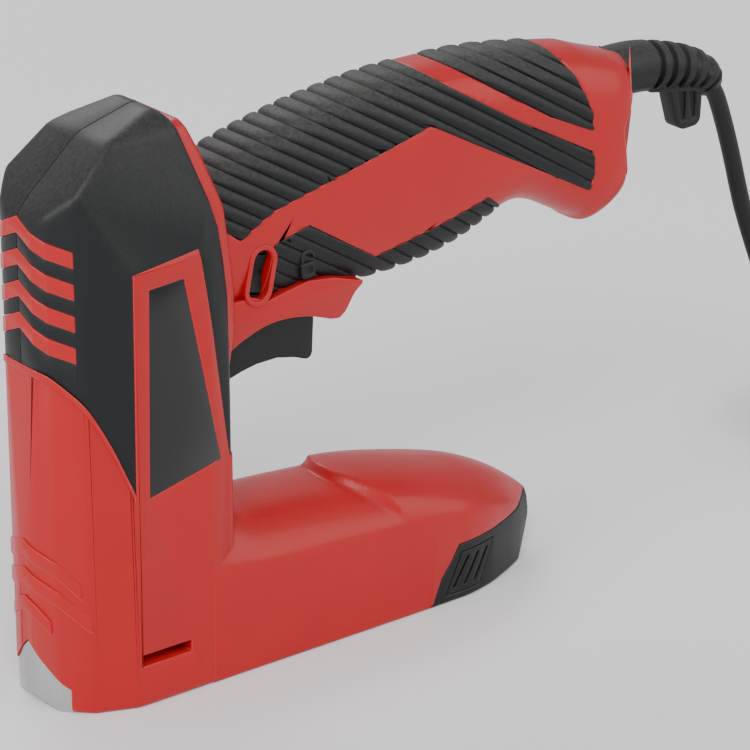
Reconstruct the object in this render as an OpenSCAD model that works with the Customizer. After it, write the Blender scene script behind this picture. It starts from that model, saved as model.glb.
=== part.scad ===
// Mains-powered staple gun. Millimetres. The origin is the staple outlet on the
// rest face; +X runs back towards the lead, +Z is up, the tool is split at Y = 0.

/* [Head] */
// Staple outlet to the prow of the head
prow_x = 14.5; // [13:0.5:18]
// Staple outlet to the rear wall of the head
head_back = 51.5; // [49:0.5:60]
// Width across the side faces
body_w = 52; // [50:1:62]
// Height of the head at its rear top edge
head_h = 193; // [186:1:230]
// Height where the side faces start to lean in
shoulder_h = 147; // [140:1:155]
// Width across the flat top of the head
top_w = 33; // [28:1:40]
// Depth of the red rim behind the head cover
rim_d = 4.5; // [3:0.5:8]

/* [Shell] */
// Thickness of the housing and cover walls
wall = 2.5; // [2:0.1:3]
// Gap at each side of a parting line
seam = 0.1; // [0.05:0.05:0.2]
// Clearance around pieces that slide or drop in
fit = 0.3; // [0.2:0.05:0.4]

/* [Stripes and plate] */
// Height of the top edge of the first stripe at the prow
stripe_top = 165; // [160:1:168]
// Distance from one stripe to the next
stripe_pitch = 10.4; // [9:0.2:11]
// Height of one stripe
stripe_h = 5.6; // [4:0.2:7]
// Fall of a stripe from the prow to its outer end
stripe_fall = 7; // [4:0.5:9]
// Number of stripes
stripe_n = 4; // [2:1:4]
// Thickness of the name plate and of a stripe
plate_t = 0.8; // [0.6:0.1:1.2]

/* [Magazine] */
// Staple outlet to the end of the magazine cover
tail_x = 195; // [180:1:235]
// Height of the magazine cover on the centre plane
cover_h = 51.6; // [48:0.5:54]
// Height of the crease along the side of the magazine cover
crease_h = 37; // [34:0.5:40]
// Height of the top of the drawer end
drawer_h = 20.2; // [19.5:0.1:21]
// Staple outlet to the front of the drawer end
drawer_x = 129; // [125:1:133]

/* [Staples] */
// Width over a staple's crown
crown_w = 11.2; // [10.6:0.1:11.4]
// Length of a staple's leg
leg_l = 14; // [12:0.5:14]
// Thickness of the staple wire
wire_t = 1.2; // [1:0.1:1.3]
// Length of the stick of staples
stick_l = 60; // [30:1:70]
// Wall of the steel channel and of the drawer rail
steel_t = 1.2; // [1:0.1:1.4]

/* [Striker] */
// Downward travel of the striker
stroke = 17; // [14:0.5:17.5]
// Thickness of the driver blade
blade_t = 1.2; // [1:0.1:1.3]
// Width of the driver blade
blade_w = 10.8; // [10:0.1:10.9]
// Outlet to the axis of the solenoid
axis_x = 12; // [11:0.5:13]
// Diameter of the armature
armature_d = 15; // [13:0.5:16]
// Diameter of the push rod
rod_d = 6.4; // [5:0.2:7]

/* [Solenoid] */
// Outer diameter of the winding
coil_d = 32; // [28:0.5:33]
// Height of the bobbin
bobbin_h = 54; // [48:1:56]
// Thickness of the solenoid frame
frame_t = 3; // [2.5:0.1:3.2]

/* [Grip] */
// Staple outlet to the end of the grip
grip_end = 230; // [215:1:276]
// Width across the grip
grip_w = 39; // [36:1:44]
// Height of the top of the grip
grip_top = 184; // [180:1:190]
// Height of the underside of the grip
grip_bottom = 117; // [115:1:118]
// Thickness of the soft grip skin
skin_t = 1.2; // [0.8:0.1:1.5]

/* [Trigger] */
// Staple outlet to the trigger's pivot
pivot_x = 62; // [60:0.5:64]
// Height of the trigger's pivot
pivot_z = 118; // [117:0.5:119]
// Width of the trigger
trigger_w = 15; // [12:0.5:17]
// Diameter of the trigger pin
pin_d = 4; // [3:0.2:5]

/* [Lock button] */
// Width of the lock button
lock_w = 6.4; // [5:0.2:7]
// Length of the lock button across its round ends
lock_l = 16; // [13:0.5:16.5]
// Travel of the lock button
lock_travel = 5; // [3:0.5:6]

/* [Lead] */
// Diameter of the lead
cord_d = 6.5; // [6:0.1:7]
// Length of one pin of the plug
plug_pin_l = 19; // [18:0.5:20]
// Diameter of one pin of the plug
plug_pin_d = 4.8; // [4:0.1:5]
// Distance between the plug's pins
plug_pin_pitch = 19; // [18:0.5:20]
// Sides of the lead's tube
cord_sides = 10; // [8:1:12]

/* [Hidden] */
$fn = 48;
half_w = body_w / 2;
far = 400;
red = [0.80, 0.13, 0.12];
black = [0.08, 0.09, 0.10];
steel = [0.62, 0.63, 0.65];

// ---- general shapes -------------------------------------------------------

// Extrudes an outline of [x, z] points between two values of y
module slab_y(points, y0, y1) {
    translate([0, y1, 0]) rotate([90, 0, 0]) linear_extrude(y1 - y0) polygon(points);
}

// Extrudes an outline of [y, z] points between two values of x
module slab_x(points, x0, x1) {
    translate([x0, 0, 0]) rotate([90, 0, 90]) linear_extrude(x1 - x0) polygon(points);
}

// Box from its two corners
module span(low, high) {
    translate(low) cube([high.x - low.x, high.y - low.y, high.z - low.z]);
}

// Cylinder along y
module bar_y(x, z, y0, y1, r) {
    translate([x, y1, z]) rotate([90, 0, 0]) cylinder(r = r, h = y1 - y0);
}

// Cylinder along x
module bar_x(y, z, x0, x1, r) {
    translate([x0, y, z]) rotate([0, 90, 0]) cylinder(r = r, h = x1 - x0);
}

// Mirrors a half outline of [y, z] or [x, y] points about its first axis
function both_y(half) = concat(half, [for (i = [len(half) - 1:-1:0]) [half[i][0], -half[i][1]]]);
function both_x(half) = concat(half, [for (i = [len(half) - 1:-1:0]) [-half[i][0], half[i][1]]]);

function unit(v) = v / norm(v);
function heading(path, i) =
    unit(path[min(i + 1, len(path) - 1)] - path[max(i - 1, 0)]);

// Closed tube through a list of points; radii holds one radius for each point
function ring(p, d, r, sides, up) =
    let (u = unit(cross(d, up)), v = cross(u, d))
    [for (k = [0:sides - 1]) p + r * (cos(360 * k / sides) * u + sin(360 * k / sides) * v)];
module tube(path, radii, sides, up = [0, 1, 0]) {
    n = len(path);
    points = [for (i = [0:n - 1]) each ring(path[i], heading(path, i), radii[i], sides, up)];
    walls = [for (i = [0:n - 2], k = [0:sides - 1])
        let (a = i * sides + k, b = i * sides + (k + 1) % sides)
        each [[a, b, b + sides], [a, b + sides, a + sides]]];
    ends = [[for (k = [sides - 1:-1:0]) k], [for (k = [0:sides - 1]) (n - 1) * sides + k]];
    polyhedron(points, concat(walls, ends), convexity = 10);
}

// Wire spring standing on z = 0
module helix(r, wire_r, length, turns) {
    steps = 10;
    path = [for (i = [0:turns * steps])
        [r * cos(360 * i / steps), r * sin(360 * i / steps),
            wire_r * 1.5 + (length - 3 * wire_r) * i / (turns * steps)]];
    tube(path, [for (p = path) wire_r], 6, [0, 0, 1]);
}

// Smooth curve through points
function spline(p, i, t) =
    let (a = p[max(i - 1, 0)], b = p[i], c = p[i + 1], d = p[min(i + 2, len(p) - 1)])
    0.5 * (2 * b + (c - a) * t + (2 * a - 5 * b + 4 * c - d) * t * t
        + (3 * b - a - 3 * c + d) * t * t * t);
function smooth_path(p, parts) = concat(
    [for (i = [0:len(p) - 2], k = [0:parts - 1]) spline(p, i, k / parts)], [p[len(p) - 1]]);

// ---- outer form of the head, magazine and grip ----------------------------
// Every form takes an inset t, so that the same outline gives the outer
// surface (t = 0) and the inner one (t = wall).

// Line between the black head cover and the red rim behind it
rear_line = [[36, head_h - 3], [40.5, 175.5], [44.5, 163.5], [48, shoulder_h], [50.5, 130],
    [head_back - 0.5, 105]];

function head_side(t) = concat(
    [[head_back - t, t], [-prow_x + t, t], [-prow_x + t, 60], [-prow_x + 1.5 + t, 106],
        [-prow_x + 1.5 + t, head_h - 28], [-prow_x + 6.5 + 0.5 * t, head_h - 22.3 - 0.8 * t],
        [10.4, head_h - 6 - t], [31.6, head_h - t]],
    [for (p = rear_line) [p[0] + (p[1] > 110 ? rim_d : 0) - t, p[1] - (p[1] > 185 ? t : 0)]]);

function head_plan(t) = both_y([[-prow_x - 0.3 + t, 0], [-prow_x + 0.5 + t, 5 - t / 2],
    [-11 + t, 12.5 - t / 2], [-3 + t / 2, half_w - 5.5 - t], [11, half_w - t],
    [41, half_w - t], [48, half_w - 2.5 - t], [58 - t, half_w - 6 - t]]);

function head_front(t) = both_x([[half_w - t, -1], [half_w - t, shoulder_h],
    [top_w / 2 - t, head_h - 6], [top_w / 2 - 8 - t, head_h + 1]]);

module head_form(t) {
    intersection() {
        slab_y(head_side(t), -half_w, half_w);
        slab_x(head_front(t), -prow_x - 5, 70);
        linear_extrude(head_h + 5) polygon(head_plan(t));
    }
}

function magazine_side(t) = [[40, t], [40, 70 - t], [head_back, 64 - t], [56, cover_h + 5 - t],
    [62, cover_h + 1 - t], [70, cover_h - t], [99.4, cover_h - 2.7 - t],
    [104.6, cover_h + 0.2 - t], [113.8, cover_h - 2.1 - t], [tail_x - 50, cover_h - 8.6 - t],
    [tail_x - 35, cover_h - 12.5 - t], [tail_x - 23, cover_h - 17.7 - t],
    [tail_x - 11, cover_h - 25.9 - t], [tail_x - 3 - t, cover_h - 32.9 - t], [tail_x - t, 12],
    [tail_x - t, t]];
function magazine_plan(t) = both_y([[40, half_w - t], [tail_x - 51, half_w - t],
    [tail_x - 34, half_w - 3.5 - t], [tail_x - 19, half_w - 10.5 - t],
    [tail_x - 7, half_w - 18.5 - t], [tail_x - t, 0.5]]);
function magazine_roof(t) = both_x([[half_w - t, -1], [half_w - t, crease_h - t / 2],
    [half_w - 6 - t, crease_h + 6 - t / 2], [half_w - 14 - t, crease_h + 11.5 - t],
    [0.5, 66 - t]]);

module magazine_form(t) {
    intersection() {
        slab_y(magazine_side(t), -half_w, half_w);
        slab_x(magazine_roof(t), 39, tail_x + 1);
        linear_extrude(80) polygon(magazine_plan(t));
    }
}

// The grip's section is a stack of layers: [share of the half width, share of the height]
grip_layers = [[0.42, 1], [0.75, 0.86], [0.93, 0.6], [1, 0.38]];
grip_mid = 150;
function grip_main(t, s) = [for (p = [[46, 120], [46, 167], [66, 172], [84, grip_top - 7.5],
    [108, grip_top - 2.5], [134, grip_top], [161, grip_top], [187, grip_top - 3],
    [187, 129], [169, 128], [154, 121.5], [141, grip_bottom + 1.5], [128, grip_bottom],
    [58, grip_bottom]])
    [p[0], grip_mid + (p[1] - grip_mid) * s - t * sign(p[1] - grip_mid)]];
function grip_knob(t, s) = [for (p = [[-65, grip_top - 1], [-43, grip_top - 3],
    [-21, grip_top - 7], [-8, grip_top - 11], [0, grip_top - 17], [0, 155], [-3, 131],
    [-5, 122], [-11, 116.5], [-18, 114.5], [-25, 117], [-40, 124.5], [-65, 135]])
    [grip_end + p[0] * (p[0] < -50 ? 1 : 1 + (1 - s) * 0.35) - (p[0] < -50 ? 0 : t + 6 * (1 - s)),
        grip_mid + (p[1] - grip_mid) * s - t * sign(p[1] - grip_mid)]];
module grip_form(t) {
    hull() {
        for (layer = grip_layers) {
            y = layer[0] * grip_w / 2 - t;
            slab_y(grip_main(t, layer[1]), -y, y);
        }
    }
    hull() {
        for (layer = grip_layers) {
            y = layer[0] * grip_w / 2 - t;
            slab_y(grip_knob(t, layer[1]), -y, y);
        }
    }
}

// Solid shroud around the root of the trigger
shroud_w = 31;
module trigger_shroud() {
    slab_y([[50, 124], [50, 107.5], [58, 111], [67, 114.5], [76, 115], [86, 113.5], [98, 110],
        [104, grip_bottom + 1], [106, 124]], -shroud_w / 2, shroud_w / 2);
}

// ---- regions of the outer surface -----------------------------------------

// Side view of the head cover: above the arch, in front of the rear line,
// and around the red tongue that carries the name plate
arch = [[-prow_x - 6, 116.5], [-13, 116.5], [-8, 112], [-2, 104], [4, 92], [8, 82], [11.3, 73.5]];
tongue = [[12, shoulder_h], [37.1, shoulder_h + 3], [48, 83.5], [49.4, 76.6]];
module cover_zone(gap) {
    edge = concat(arch, tongue, [[head_back + 1, 90], [head_back - 0.5, 105]],
        [for (i = [len(rear_line) - 1:-1:0]) [rear_line[i][0] - gap, rear_line[i][1]]],
        [[30, head_h + 10], [-prow_x - 6, head_h + 10]]);
    slab_y([for (p = edge) [p[0], p[1] + gap]], -far, far);
}

plate_outline = [[17.9, 141], [30.8, 142], [43.9, 78.1], [16.4, 71.8]];

// Side views of the soft grip: ribbed upper part, rear patch and lower part
upper_skin = [[58, 200], [58, 150], [71, 153.3], [101, 160.2], [134.6, 168], [167, 150.4],
    [203, 131], [204, 145], [172, 161.6], [146.5, 177], [126, 191.5], [120, 200]];
rear_skin = [[137, 190.4], [163.4, 173.7], [185, 160.7], [202, 153], [204, 158.5], [198, 171.5],
    [190, 182.7], [180, 195]];
lower_skin = [[71.3, 142.5], [84.4, 145.6], [112.9, 127.5], [142, 133.7], [159, 138],
    [169, 131], [178, 122], [160, 108], [108, 108], [106, 121.6], [94, 125.4], [84, 126.4],
    [69, 124]];
module skin_zone(y0, y1) {
    slab_y(upper_skin, y0, y1);
    slab_y(rear_skin, y0, y1);
    slab_y(lower_skin, y0, y1);
}

// ---- places of the housing's screws, its openings and its inner pieces ----

// Each housing screw: [x, z]
screw_places = [[40, 61], [60, 29], [118, 30], [158, 30], [100, 170], [180, 170], [128, 127],
    [214, 127]];
cover_screw = [28, 180];
screw_seat = 12;
screw_l = 26;
shank_r = 1.5;
head_r = 2.8;

channel_half = crown_w / 2 + fit + steel_t;
channel_top = leg_l + wire_t + 0.4 + 2 * fit + steel_t;
channel_x = 1;
nose_flat = channel_top;
window_low = [12, 14.3];
window_high = [31, 18.3];

lock_place = [65, 133];
lock_tilt = 12;
relief_z = 163.5;
relief_r = 9;
clamp_x = 204;

nose_outline = both_x([[15, -1], [15, 8], [0.01, 22.4]]);

// Spine that joins the lower column to the grip inside the head cover
module spine(extra) {
    front = head_back - wall - 4.5;
    span([front, -19 - extra, 55], [front + 3.9, 19 + extra, 109]);
    span([front, -19 - extra, 106 - extra], [head_back + rim_d - 1, 19 + extra, 109 + extra]);
    span([front, -19 - extra, 55], [head_back - 1, 19 + extra, 74]);
}

// Spots that need a boss for a housing screw
module screw_bosses() {
    for (p = screw_places) bar_y(p[0], p[1], -half_w, half_w, 3.8);
}
module screw_holes(places) {
    for (p = places) {
        bar_y(p[0], p[1], screw_seat - screw_l - 1, 0, shank_r + 0.05);
        bar_y(p[0], p[1], -0.5, far, shank_r + 0.25);
        bar_y(p[0], p[1], screw_seat, far, head_r + 0.3);
    }
}
module lock_outline(extra) {
    rotate(lock_tilt) union() {
        square([lock_w + 2 * extra, lock_l - lock_w], center = true);
        for (s = [-1, 1]) translate([0, s * (lock_l - lock_w) / 2]) circle(lock_w / 2 + extra);
    }
}
module lock_bar(y0, y1, extra) {
    translate([lock_place[0], y1, lock_place[1]]) rotate([90, 0, 0])
        linear_extrude(y1 - y0) mirror([1, 0]) lock_outline(extra);
}

// ---- housing --------------------------------------------------------------

// Drawer bay under the tail of the magazine cover
bay = [[drawer_x, -1], [drawer_x + 5, 9.9], [drawer_x + 9, 14.9],
    [drawer_x + 12.6, drawer_h + fit], [tail_x + 5, drawer_h + fit], [tail_x + 5, -1]];

coil_z = 76;
frame_w = 2 * (coil_d / 2 + 1.2 + frame_t);
shelf_in = frame_w / 2 - 6;

// Ribs and posts inside both halves
module inner_ribs() {
    span([4, -half_w, coil_z - frame_t - fit - 3], [28, -shelf_in, coil_z - frame_t - fit]);
    span([4, shelf_in, coil_z - frame_t - fit - 3], [28, half_w, coil_z - frame_t - fit]);
    for (s = [-1, 1]) {
        y0 = s > 0 ? shelf_in : -half_w;
        span([13, y0, coil_z + bobbin_h + frame_t + fit],
            [28, y0 + half_w - shelf_in, coil_z + bobbin_h + frame_t + fit + 3]);
        // shelf over the steel channel
        span([2, s > 0 ? channel_half + fit : -half_w, channel_top - 4],
            [channel_x + 8, s > 0 ? half_w : -channel_half - fit, channel_top - 1]);
    }
    // saddle for the lead, between the clamp screws
    span([clamp_x - 4, -grip_w, 150], [clamp_x + 4, grip_w, relief_z - cord_d / 2 - fit]);
    span([176, -grip_w, 136], [186, grip_w, 140 - fit]);
}
module switch_posts() {
    for (x = [76, 89]) bar_y(x, 129, -grip_w, 4, 1.4);
}
module board_posts() {
    for (p = [[116, 140], [116, 164], [160, 140], [160, 164]])
        bar_y(p[0], p[1], 9.6 + fit, grip_w, 2.2);
}

module housing_half(side) {
    y_in = side * seam / 2;
    color(red) difference() {
        intersection() {
            union() {
                head_form(0);
                magazine_form(0);
                grip_form(0);
                trigger_shroud();
            }
            span([-far, side > 0 ? y_in : -far, -far], [far, side > 0 ? far : y_in, far]);
            union() {
                difference() {
                    span([-far, -far, -1], [far, far, far]);
                    head_form(wall);
                    magazine_form(wall);
                    grip_form(wall);
                }
                screw_bosses();
                inner_ribs();
                spine(0);
                if (side < 0) switch_posts();
                if (side > 0) board_posts();
            }
        }
        difference() {
            cover_zone(0);
            spine(0);
        }
        slab_y(plate_outline, side > 0 ? half_w - plate_t : -far,
            side > 0 ? far : -half_w + plate_t);
        difference() {
            skin_zone(side > 0 ? 0 : -far, side > 0 ? far : 0);
            grip_form(skin_t);
        }
        screw_holes(screw_places);
        slab_y(bay, -far, far);
        span([channel_x - 2.5, -channel_half - fit, -1],
            [far, channel_half + fit, channel_top + fit]);
        slab_x(nose_outline, -prow_x - 5, 6.3);
        span([-5, -9.5, -1], [20.5, 9.5, 45]);
        span([window_low[0], -far, window_low[1]], [window_high[0], far, window_high[1]]);
        span([55, -trigger_w / 2 - fit, 90], [98, trigger_w / 2 + fit, 123.5]);
        bar_y(pivot_x, pivot_z, -13, 13, pin_d / 2 + 0.05);
        lock_bar(-far, far, fit);
        bar_x(0, relief_z, clamp_x + 6, far, relief_r + 0.2);
        bar_x(0, relief_z, clamp_x + 10, grip_end - 5, relief_r + 2.3);
        clamp_screw_holes();
    }
}
module housing_left() {
    housing_half(-1);
}
module housing_right() {
    housing_half(1);
}

// ---- head cover, stripes, plates, soft grip -------------------------------

module stripe_bands(extra) {
    for (i = [0:stripe_n - 1]) {
        z = stripe_top - i * stripe_pitch;
        slab_x(concat([[0, z + extra], [21 + extra, z - stripe_fall + extra],
            [21 + extra, z - stripe_fall - stripe_h - extra], [0, z - stripe_h - extra],
            [-21 - extra, z - stripe_fall - stripe_h - extra]],
            [[-21 - extra, z - stripe_fall + extra]]), -prow_x - 5, 2);
    }
}
module cover_half(side) {
    color(black) difference() {
        intersection() {
            head_form(0);
            cover_zone(seam);
            span([-far, side > 0 ? seam / 2 : -far, 0], [far, side > 0 ? far : -seam / 2, far]);
            union() {
                difference() {
                    span([-far, -far, -1], [far, far, far]);
                    head_form(wall);
                }
                bar_y(cover_screw[0], cover_screw[1], -half_w, half_w, 3.8);
            }
        }
        difference() {
            stripe_bands(0.05);
            head_form(plate_t);
        }
        spine(seam);
        screw_holes([cover_screw]);
    }
}
module head_cover_left() {
    cover_half(-1);
}
module head_cover_right() {
    cover_half(1);
}

module front_stripes() {
    color(red) difference() {
        intersection() {
            head_form(0);
            stripe_bands(0);
        }
        head_form(plate_t);
    }
}

module name_plates() {
    for (s = [-1, 1])
        color("black") slab_y(plate_outline, s > 0 ? half_w - plate_t : -half_w,
            s > 0 ? half_w : -half_w + plate_t);
}

module soft_grip_half(side) {
    color(black) difference() {
        intersection() {
            grip_form(0);
            skin_zone(side > 0 ? seam / 2 : -far, side > 0 ? far : -seam / 2);
        }
        grip_form(skin_t);
        head_form(0);
        trigger_shroud();
        screw_holes(screw_places);
        lock_bar(-far, far, 2);
        span([grip_end - 6, -far, 0], [far, far, far]);
    }
}
module soft_grip_left() {
    soft_grip_half(-1);
}
module soft_grip_right() {
    soft_grip_half(1);
}

// ---- nose, channel and staples --------------------------------------------

module nose_piece() {
    color(steel) difference() {
        intersection() {
            slab_x(both_x([[15 - fit, 0], [15 - fit, 8 - fit / 2], [0.01, 22.4 - 1.4 * fit]]),
                -prow_x + 1, 6);
            linear_extrude(40) polygon(head_plan(0.8));
            union() {
                span([-far, -far, 0], [-4.2, far, far]);
                span([-far, -far, 0], [far, far, nose_flat]);
            }
        }
        span([-blade_t / 2 - fit, -channel_half - fit, -1],
            [far, channel_half + fit, channel_top + 5]);
        // relief that leaves a narrow contact tip
        slab_y([[-prow_x - 1, -1], [-prow_x - 1, 5], [-prow_x + 5, -1]], -far, far);
    }
}

module blade_guide() {
    z0 = channel_top + fit;
    color(steel) difference() {
        span([-3.5, -9, z0], [20, 9, z0 + 18]);
        span([-blade_t / 2 - fit, -blade_w / 2 - fit, 0],
            [blade_t / 2 + fit, blade_w / 2 + fit, 60]);
        bar_y(11, z0 + 9, -20, 20, 4);
    }
}

module magazine_channel() {
    color(steel) difference() {
        span([channel_x, -channel_half, 0], [drawer_x + 3, channel_half, channel_top]);
        span([0, -channel_half + steel_t, -1],
            [far, channel_half - steel_t, channel_top - steel_t]);
        span([window_low[0], -far, 12.5], [window_high[0], far, channel_top - steel_t]);
    }
}

stick_z = leg_l + wire_t + 0.4;
module staple_stick() {
    color(steel) difference() {
        span([channel_x + fit, -crown_w / 2, stick_z - leg_l],
            [channel_x + fit + stick_l, crown_w / 2, stick_z]);
        span([-1, -crown_w / 2 + wire_t, -1],
            [far, crown_w / 2 - wire_t, stick_z - wire_t]);
    }
}

// ---- drawer ---------------------------------------------------------------

rail_half = crown_w / 2 - wire_t - fit;
rail_top = stick_z - wire_t - fit;
rod_z = 7;
rod_r = 1.5;
module drawer_rail() {
    color(steel) difference() {
        span([channel_x + 2 * fit, -rail_half, 0.8], [drawer_x + 16, rail_half, rail_top]);
        span([-1, -rail_half + 0.8, -1], [far, rail_half - 0.8, rail_top - 0.8]);
        span([channel_x + 20, -1.3, 8], [drawer_x + 7, 1.3, 30]);
    }
}

tab_x = drawer_x + 7;
tab_l = 15.5;
tab_slant = 7;
tab_low = 3;
tab_high = 17;
function tab_outline(e) = [[tab_x - e, tab_low - e], [tab_x + tab_l + e, tab_low - e],
    [tab_x + tab_l + tab_slant + e, tab_high + e], [tab_x + tab_slant - e, tab_high + e]];
module drawer_end() {
    rear = tail_x - 4;
    color(black) difference() {
        intersection() {
            magazine_form(0);
            slab_y([[drawer_x + fit, -1], [drawer_x + 5 + fit, 9.9 - fit / 2],
                [drawer_x + 9 + fit, 14.9 - fit / 2], [drawer_x + 12.8 + fit, drawer_h],
                [rear, drawer_h], [rear - 4, 14], [rear - 13, 0.8], [rear - 17, -1]], -far, far);
            union() {
                difference() {
                    span([0, -far, 0], [far, far, far]);
                    intersection() {
                        magazine_form(wall);
                        span([drawer_x + 7, -far, wall], [rear - 14, far, drawer_h - 2.5]);
                    }
                }
                span([drawer_x + 7, -7, 0], [drawer_x + 19, 7, drawer_h]);
            }
        }
        span([0, -rail_half - 0.1, -1], [drawer_x + 16.1, rail_half + 0.1, rail_top + 0.1]);
        span([0, -channel_half - fit, -1], [drawer_x + 4, channel_half + fit, channel_top + fit]);
        for (s = [-1, 1])
            slab_y(tab_outline(fit), s > 0 ? half_w - 7.5 : -far, s > 0 ? far : -half_w + 7.5);
        bar_x(0, rod_z, drawer_x + 15, drawer_x + 18, rod_r + 0.02);
    }
}

module pusher_rod() {
    color(steel) bar_x(0, rod_z, channel_x + 22, drawer_x + 18, rod_r);
}

pusher_x = channel_x + 2 * fit + stick_l;
module pusher() {
    inside = rail_half - 0.8 - fit;
    color(steel) {
        difference() {
            union() {
                difference() {
                    span([pusher_x, -crown_w / 2, 2], [pusher_x + 12, crown_w / 2, stick_z]);
                    span([0, -rail_half - fit, -1], [far, rail_half + fit, rail_top + fit]);
                }
                span([pusher_x + 1, -1, rod_z], [pusher_x + 11, 1, rail_top + fit + 0.1]);
                span([pusher_x + 1, -inside, rod_z - 3], [pusher_x + 11, inside, rod_z + 3]);
            }
            bar_x(0, rod_z, 0, far, rod_r + 0.05);
        }
    }
}
module pusher_spring() {
    x0 = pusher_x + 11.2;
    x1 = drawer_x + 14.6;
    color(steel) translate([x0, 0, rod_z]) rotate([0, 90, 0]) helix(2.15, 0.3, x1 - x0, 18);
}

module tab(side) {
    y0 = half_w - 5.2;
    color(black) mirror([0, side > 0 ? 0 : 1, 0]) difference() {
        union() {
            slab_y(tab_outline(0), y0, half_w - 0.6);
            span([tab_x + 7, y0 - 4, 7], [tab_x + 13, y0 + 1, 13]);
        }
        for (i = [0:2])
            slab_y([[tab_x + 2.2 + 4.9 * i, 4.6], [tab_x + 9 + 4.9 * i, 15.4],
                [tab_x + 10.3 + 4.9 * i, 15.4], [tab_x + 3.5 + 4.9 * i, 4.6]],
                half_w - 1.6, far);
    }
}
module tab_left() {
    tab(-1);
}
module tab_right() {
    tab(1);
}
module tab_springs() {
    for (s = [-1, 1]) {
        reach = half_w - 5.2 - 4 - 0.1 - 7.1;
        color(steel) translate([tab_x + 10, s * 7.1, 10]) rotate([-90 * s, 0, 0])
            helix(2, 0.3, reach, 5);
    }
}

// ---- solenoid and striker -------------------------------------------------

frame_top = coil_z + bobbin_h;
bore_r = armature_d / 2 + 0.3;
module solenoid_frame() {
    color(steel) difference() {
        span([axis_x - 7, -frame_w / 2, coil_z - frame_t],
            [axis_x + 15, frame_w / 2, frame_top + frame_t]);
        span([-far, -frame_w / 2 + frame_t, coil_z], [far, frame_w / 2 - frame_t, frame_top]);
        translate([axis_x, 0, frame_top - 1]) cylinder(r = bore_r, h = frame_t + 2);
        translate([axis_x, 0, coil_z - frame_t - 1]) cylinder(r = rod_d / 2 + 0.3, h = frame_t + 2);
    }
}
module bobbin() {
    color([0.85, 0.82, 0.70]) translate([axis_x, 0, coil_z]) difference() {
        union() {
            cylinder(r = bore_r + 1.6, h = bobbin_h);
            cylinder(r = coil_d / 2 + 0.6, h = 1.6);
            translate([0, 0, bobbin_h - 1.6]) cylinder(r = coil_d / 2 + 0.6, h = 1.6);
        }
        translate([0, 0, -1]) cylinder(r = bore_r, h = bobbin_h + 2);
    }
}
module winding() {
    color([0.72, 0.38, 0.16]) translate([axis_x, 0, coil_z + 1.6]) difference() {
        cylinder(r = coil_d / 2, h = bobbin_h - 3.2);
        translate([0, 0, -1]) cylinder(r = bore_r + 1.6, h = bobbin_h);
    }
}

armature_z = 98;
armature_top = 158;
module armature() {
    color(steel) translate([axis_x, 0, 0]) union() {
        translate([0, 0, armature_z]) cylinder(r = armature_d / 2, h = armature_top - armature_z);
        translate([0, 0, armature_top]) cylinder(r = armature_d / 2 + 3, h = 3);
    }
}
carrier_z = 58;
carrier_h = 5;
module push_rod() {
    color([0.78, 0.65, 0.35]) translate([axis_x, 0, carrier_z + carrier_h])
        cylinder(r = rod_d / 2, h = armature_z - carrier_z - carrier_h);
}
module blade_carrier() {
    color(steel) span([blade_t / 2, -7, carrier_z], [axis_x + 8, 7, carrier_z + carrier_h]);
}
blade_tip = stroke + 0.7;
module driver_blade() {
    color(steel) span([-blade_t / 2, -blade_w / 2, blade_tip],
        [blade_t / 2, blade_w / 2, carrier_z + carrier_h]);
}
module blade_screws() {
    for (y = [-3.4, 3.4])
        color(steel) translate([-blade_t / 2 - 1.4, y, carrier_z + carrier_h / 2])
            rotate([0, 90, 0]) cylinder(r = 1.9, h = 1.4);
}
module return_spring() {
    z0 = frame_top + frame_t;
    color(steel) translate([axis_x, 0, z0]) helix(armature_d / 2 + 1.4, 0.55,
        armature_top - z0 - 0.1, 6);
}
module upper_bumper() {
    color(black) translate([axis_x, 0, armature_top + 3 + fit])
        cylinder(r = armature_d / 2 + 2, h = 4.4);
}
module bumper_bracket() {
    z0 = frame_top + frame_t;
    z1 = armature_top + 3 + fit + 4.4;
    color(steel) difference() {
        span([axis_x - 6, -shelf_in + fit, z0], [axis_x + 6, shelf_in - fit, z1 + 2]);
        span([-far, -shelf_in + fit + 2, z0 - 1], [far, shelf_in - fit - 2, z1]);
    }
}
module lower_bumper() {
    z0 = channel_top + fit + 18;
    color(black) difference() {
        span([blade_t / 2 + fit + 1.2, -7, z0], [19, 7, carrier_z - stroke - fit]);
        bar_x(0, z0, 0, far, 2.4);
    }
}

// ---- trigger, lock and switch ---------------------------------------------

nub_x = 75;
switch_z = 122;
module trigger() {
    color(black) difference() {
        union() {
            slab_y([[57.6, 93.8], [64.5, 95.6], [72, 97], [80, 97.3], [87, 95.6], [93, 93.8],
                [94.4, 95], [95, 108.5], [93, 112.6], [84, 115], [pivot_x + 3.5, 121],
                [pivot_x - 3.5, 121], [57.6, 117]], -trigger_w / 2, trigger_w / 2);
            bar_y(pivot_x, pivot_z, -trigger_w / 2, trigger_w / 2, 4.4);
            span([nub_x - 2, -2.5, 110], [nub_x + 2, 2.5, switch_z - 3]);
        }
        bar_y(pivot_x, pivot_z, -far, far, pin_d / 2 + 0.06);
        span([83, -3.2, 113], [90, 3.2, 130]);
    }
}
module trigger_pin() {
    color(steel) bar_y(pivot_x, pivot_z, -12.8, 12.8, pin_d / 2);
}
module trigger_spring() {
    color(steel) translate([86.5, 0, 113.1]) helix(2, 0.35, switch_z - 113.3, 4);
}
module microswitch() {
    color([0.12, 0.12, 0.13]) difference() {
        span([nub_x - 3, -5, switch_z], [nub_x + 17, 5, switch_z + 11]);
        translate([nub_x, 0, switch_z - 1]) cylinder(r = 1.35, h = 6);
        bar_y(76, 129, -20, 20, 1.5);
        bar_y(89, 129, -20, 20, 1.5);
    }
}
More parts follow.
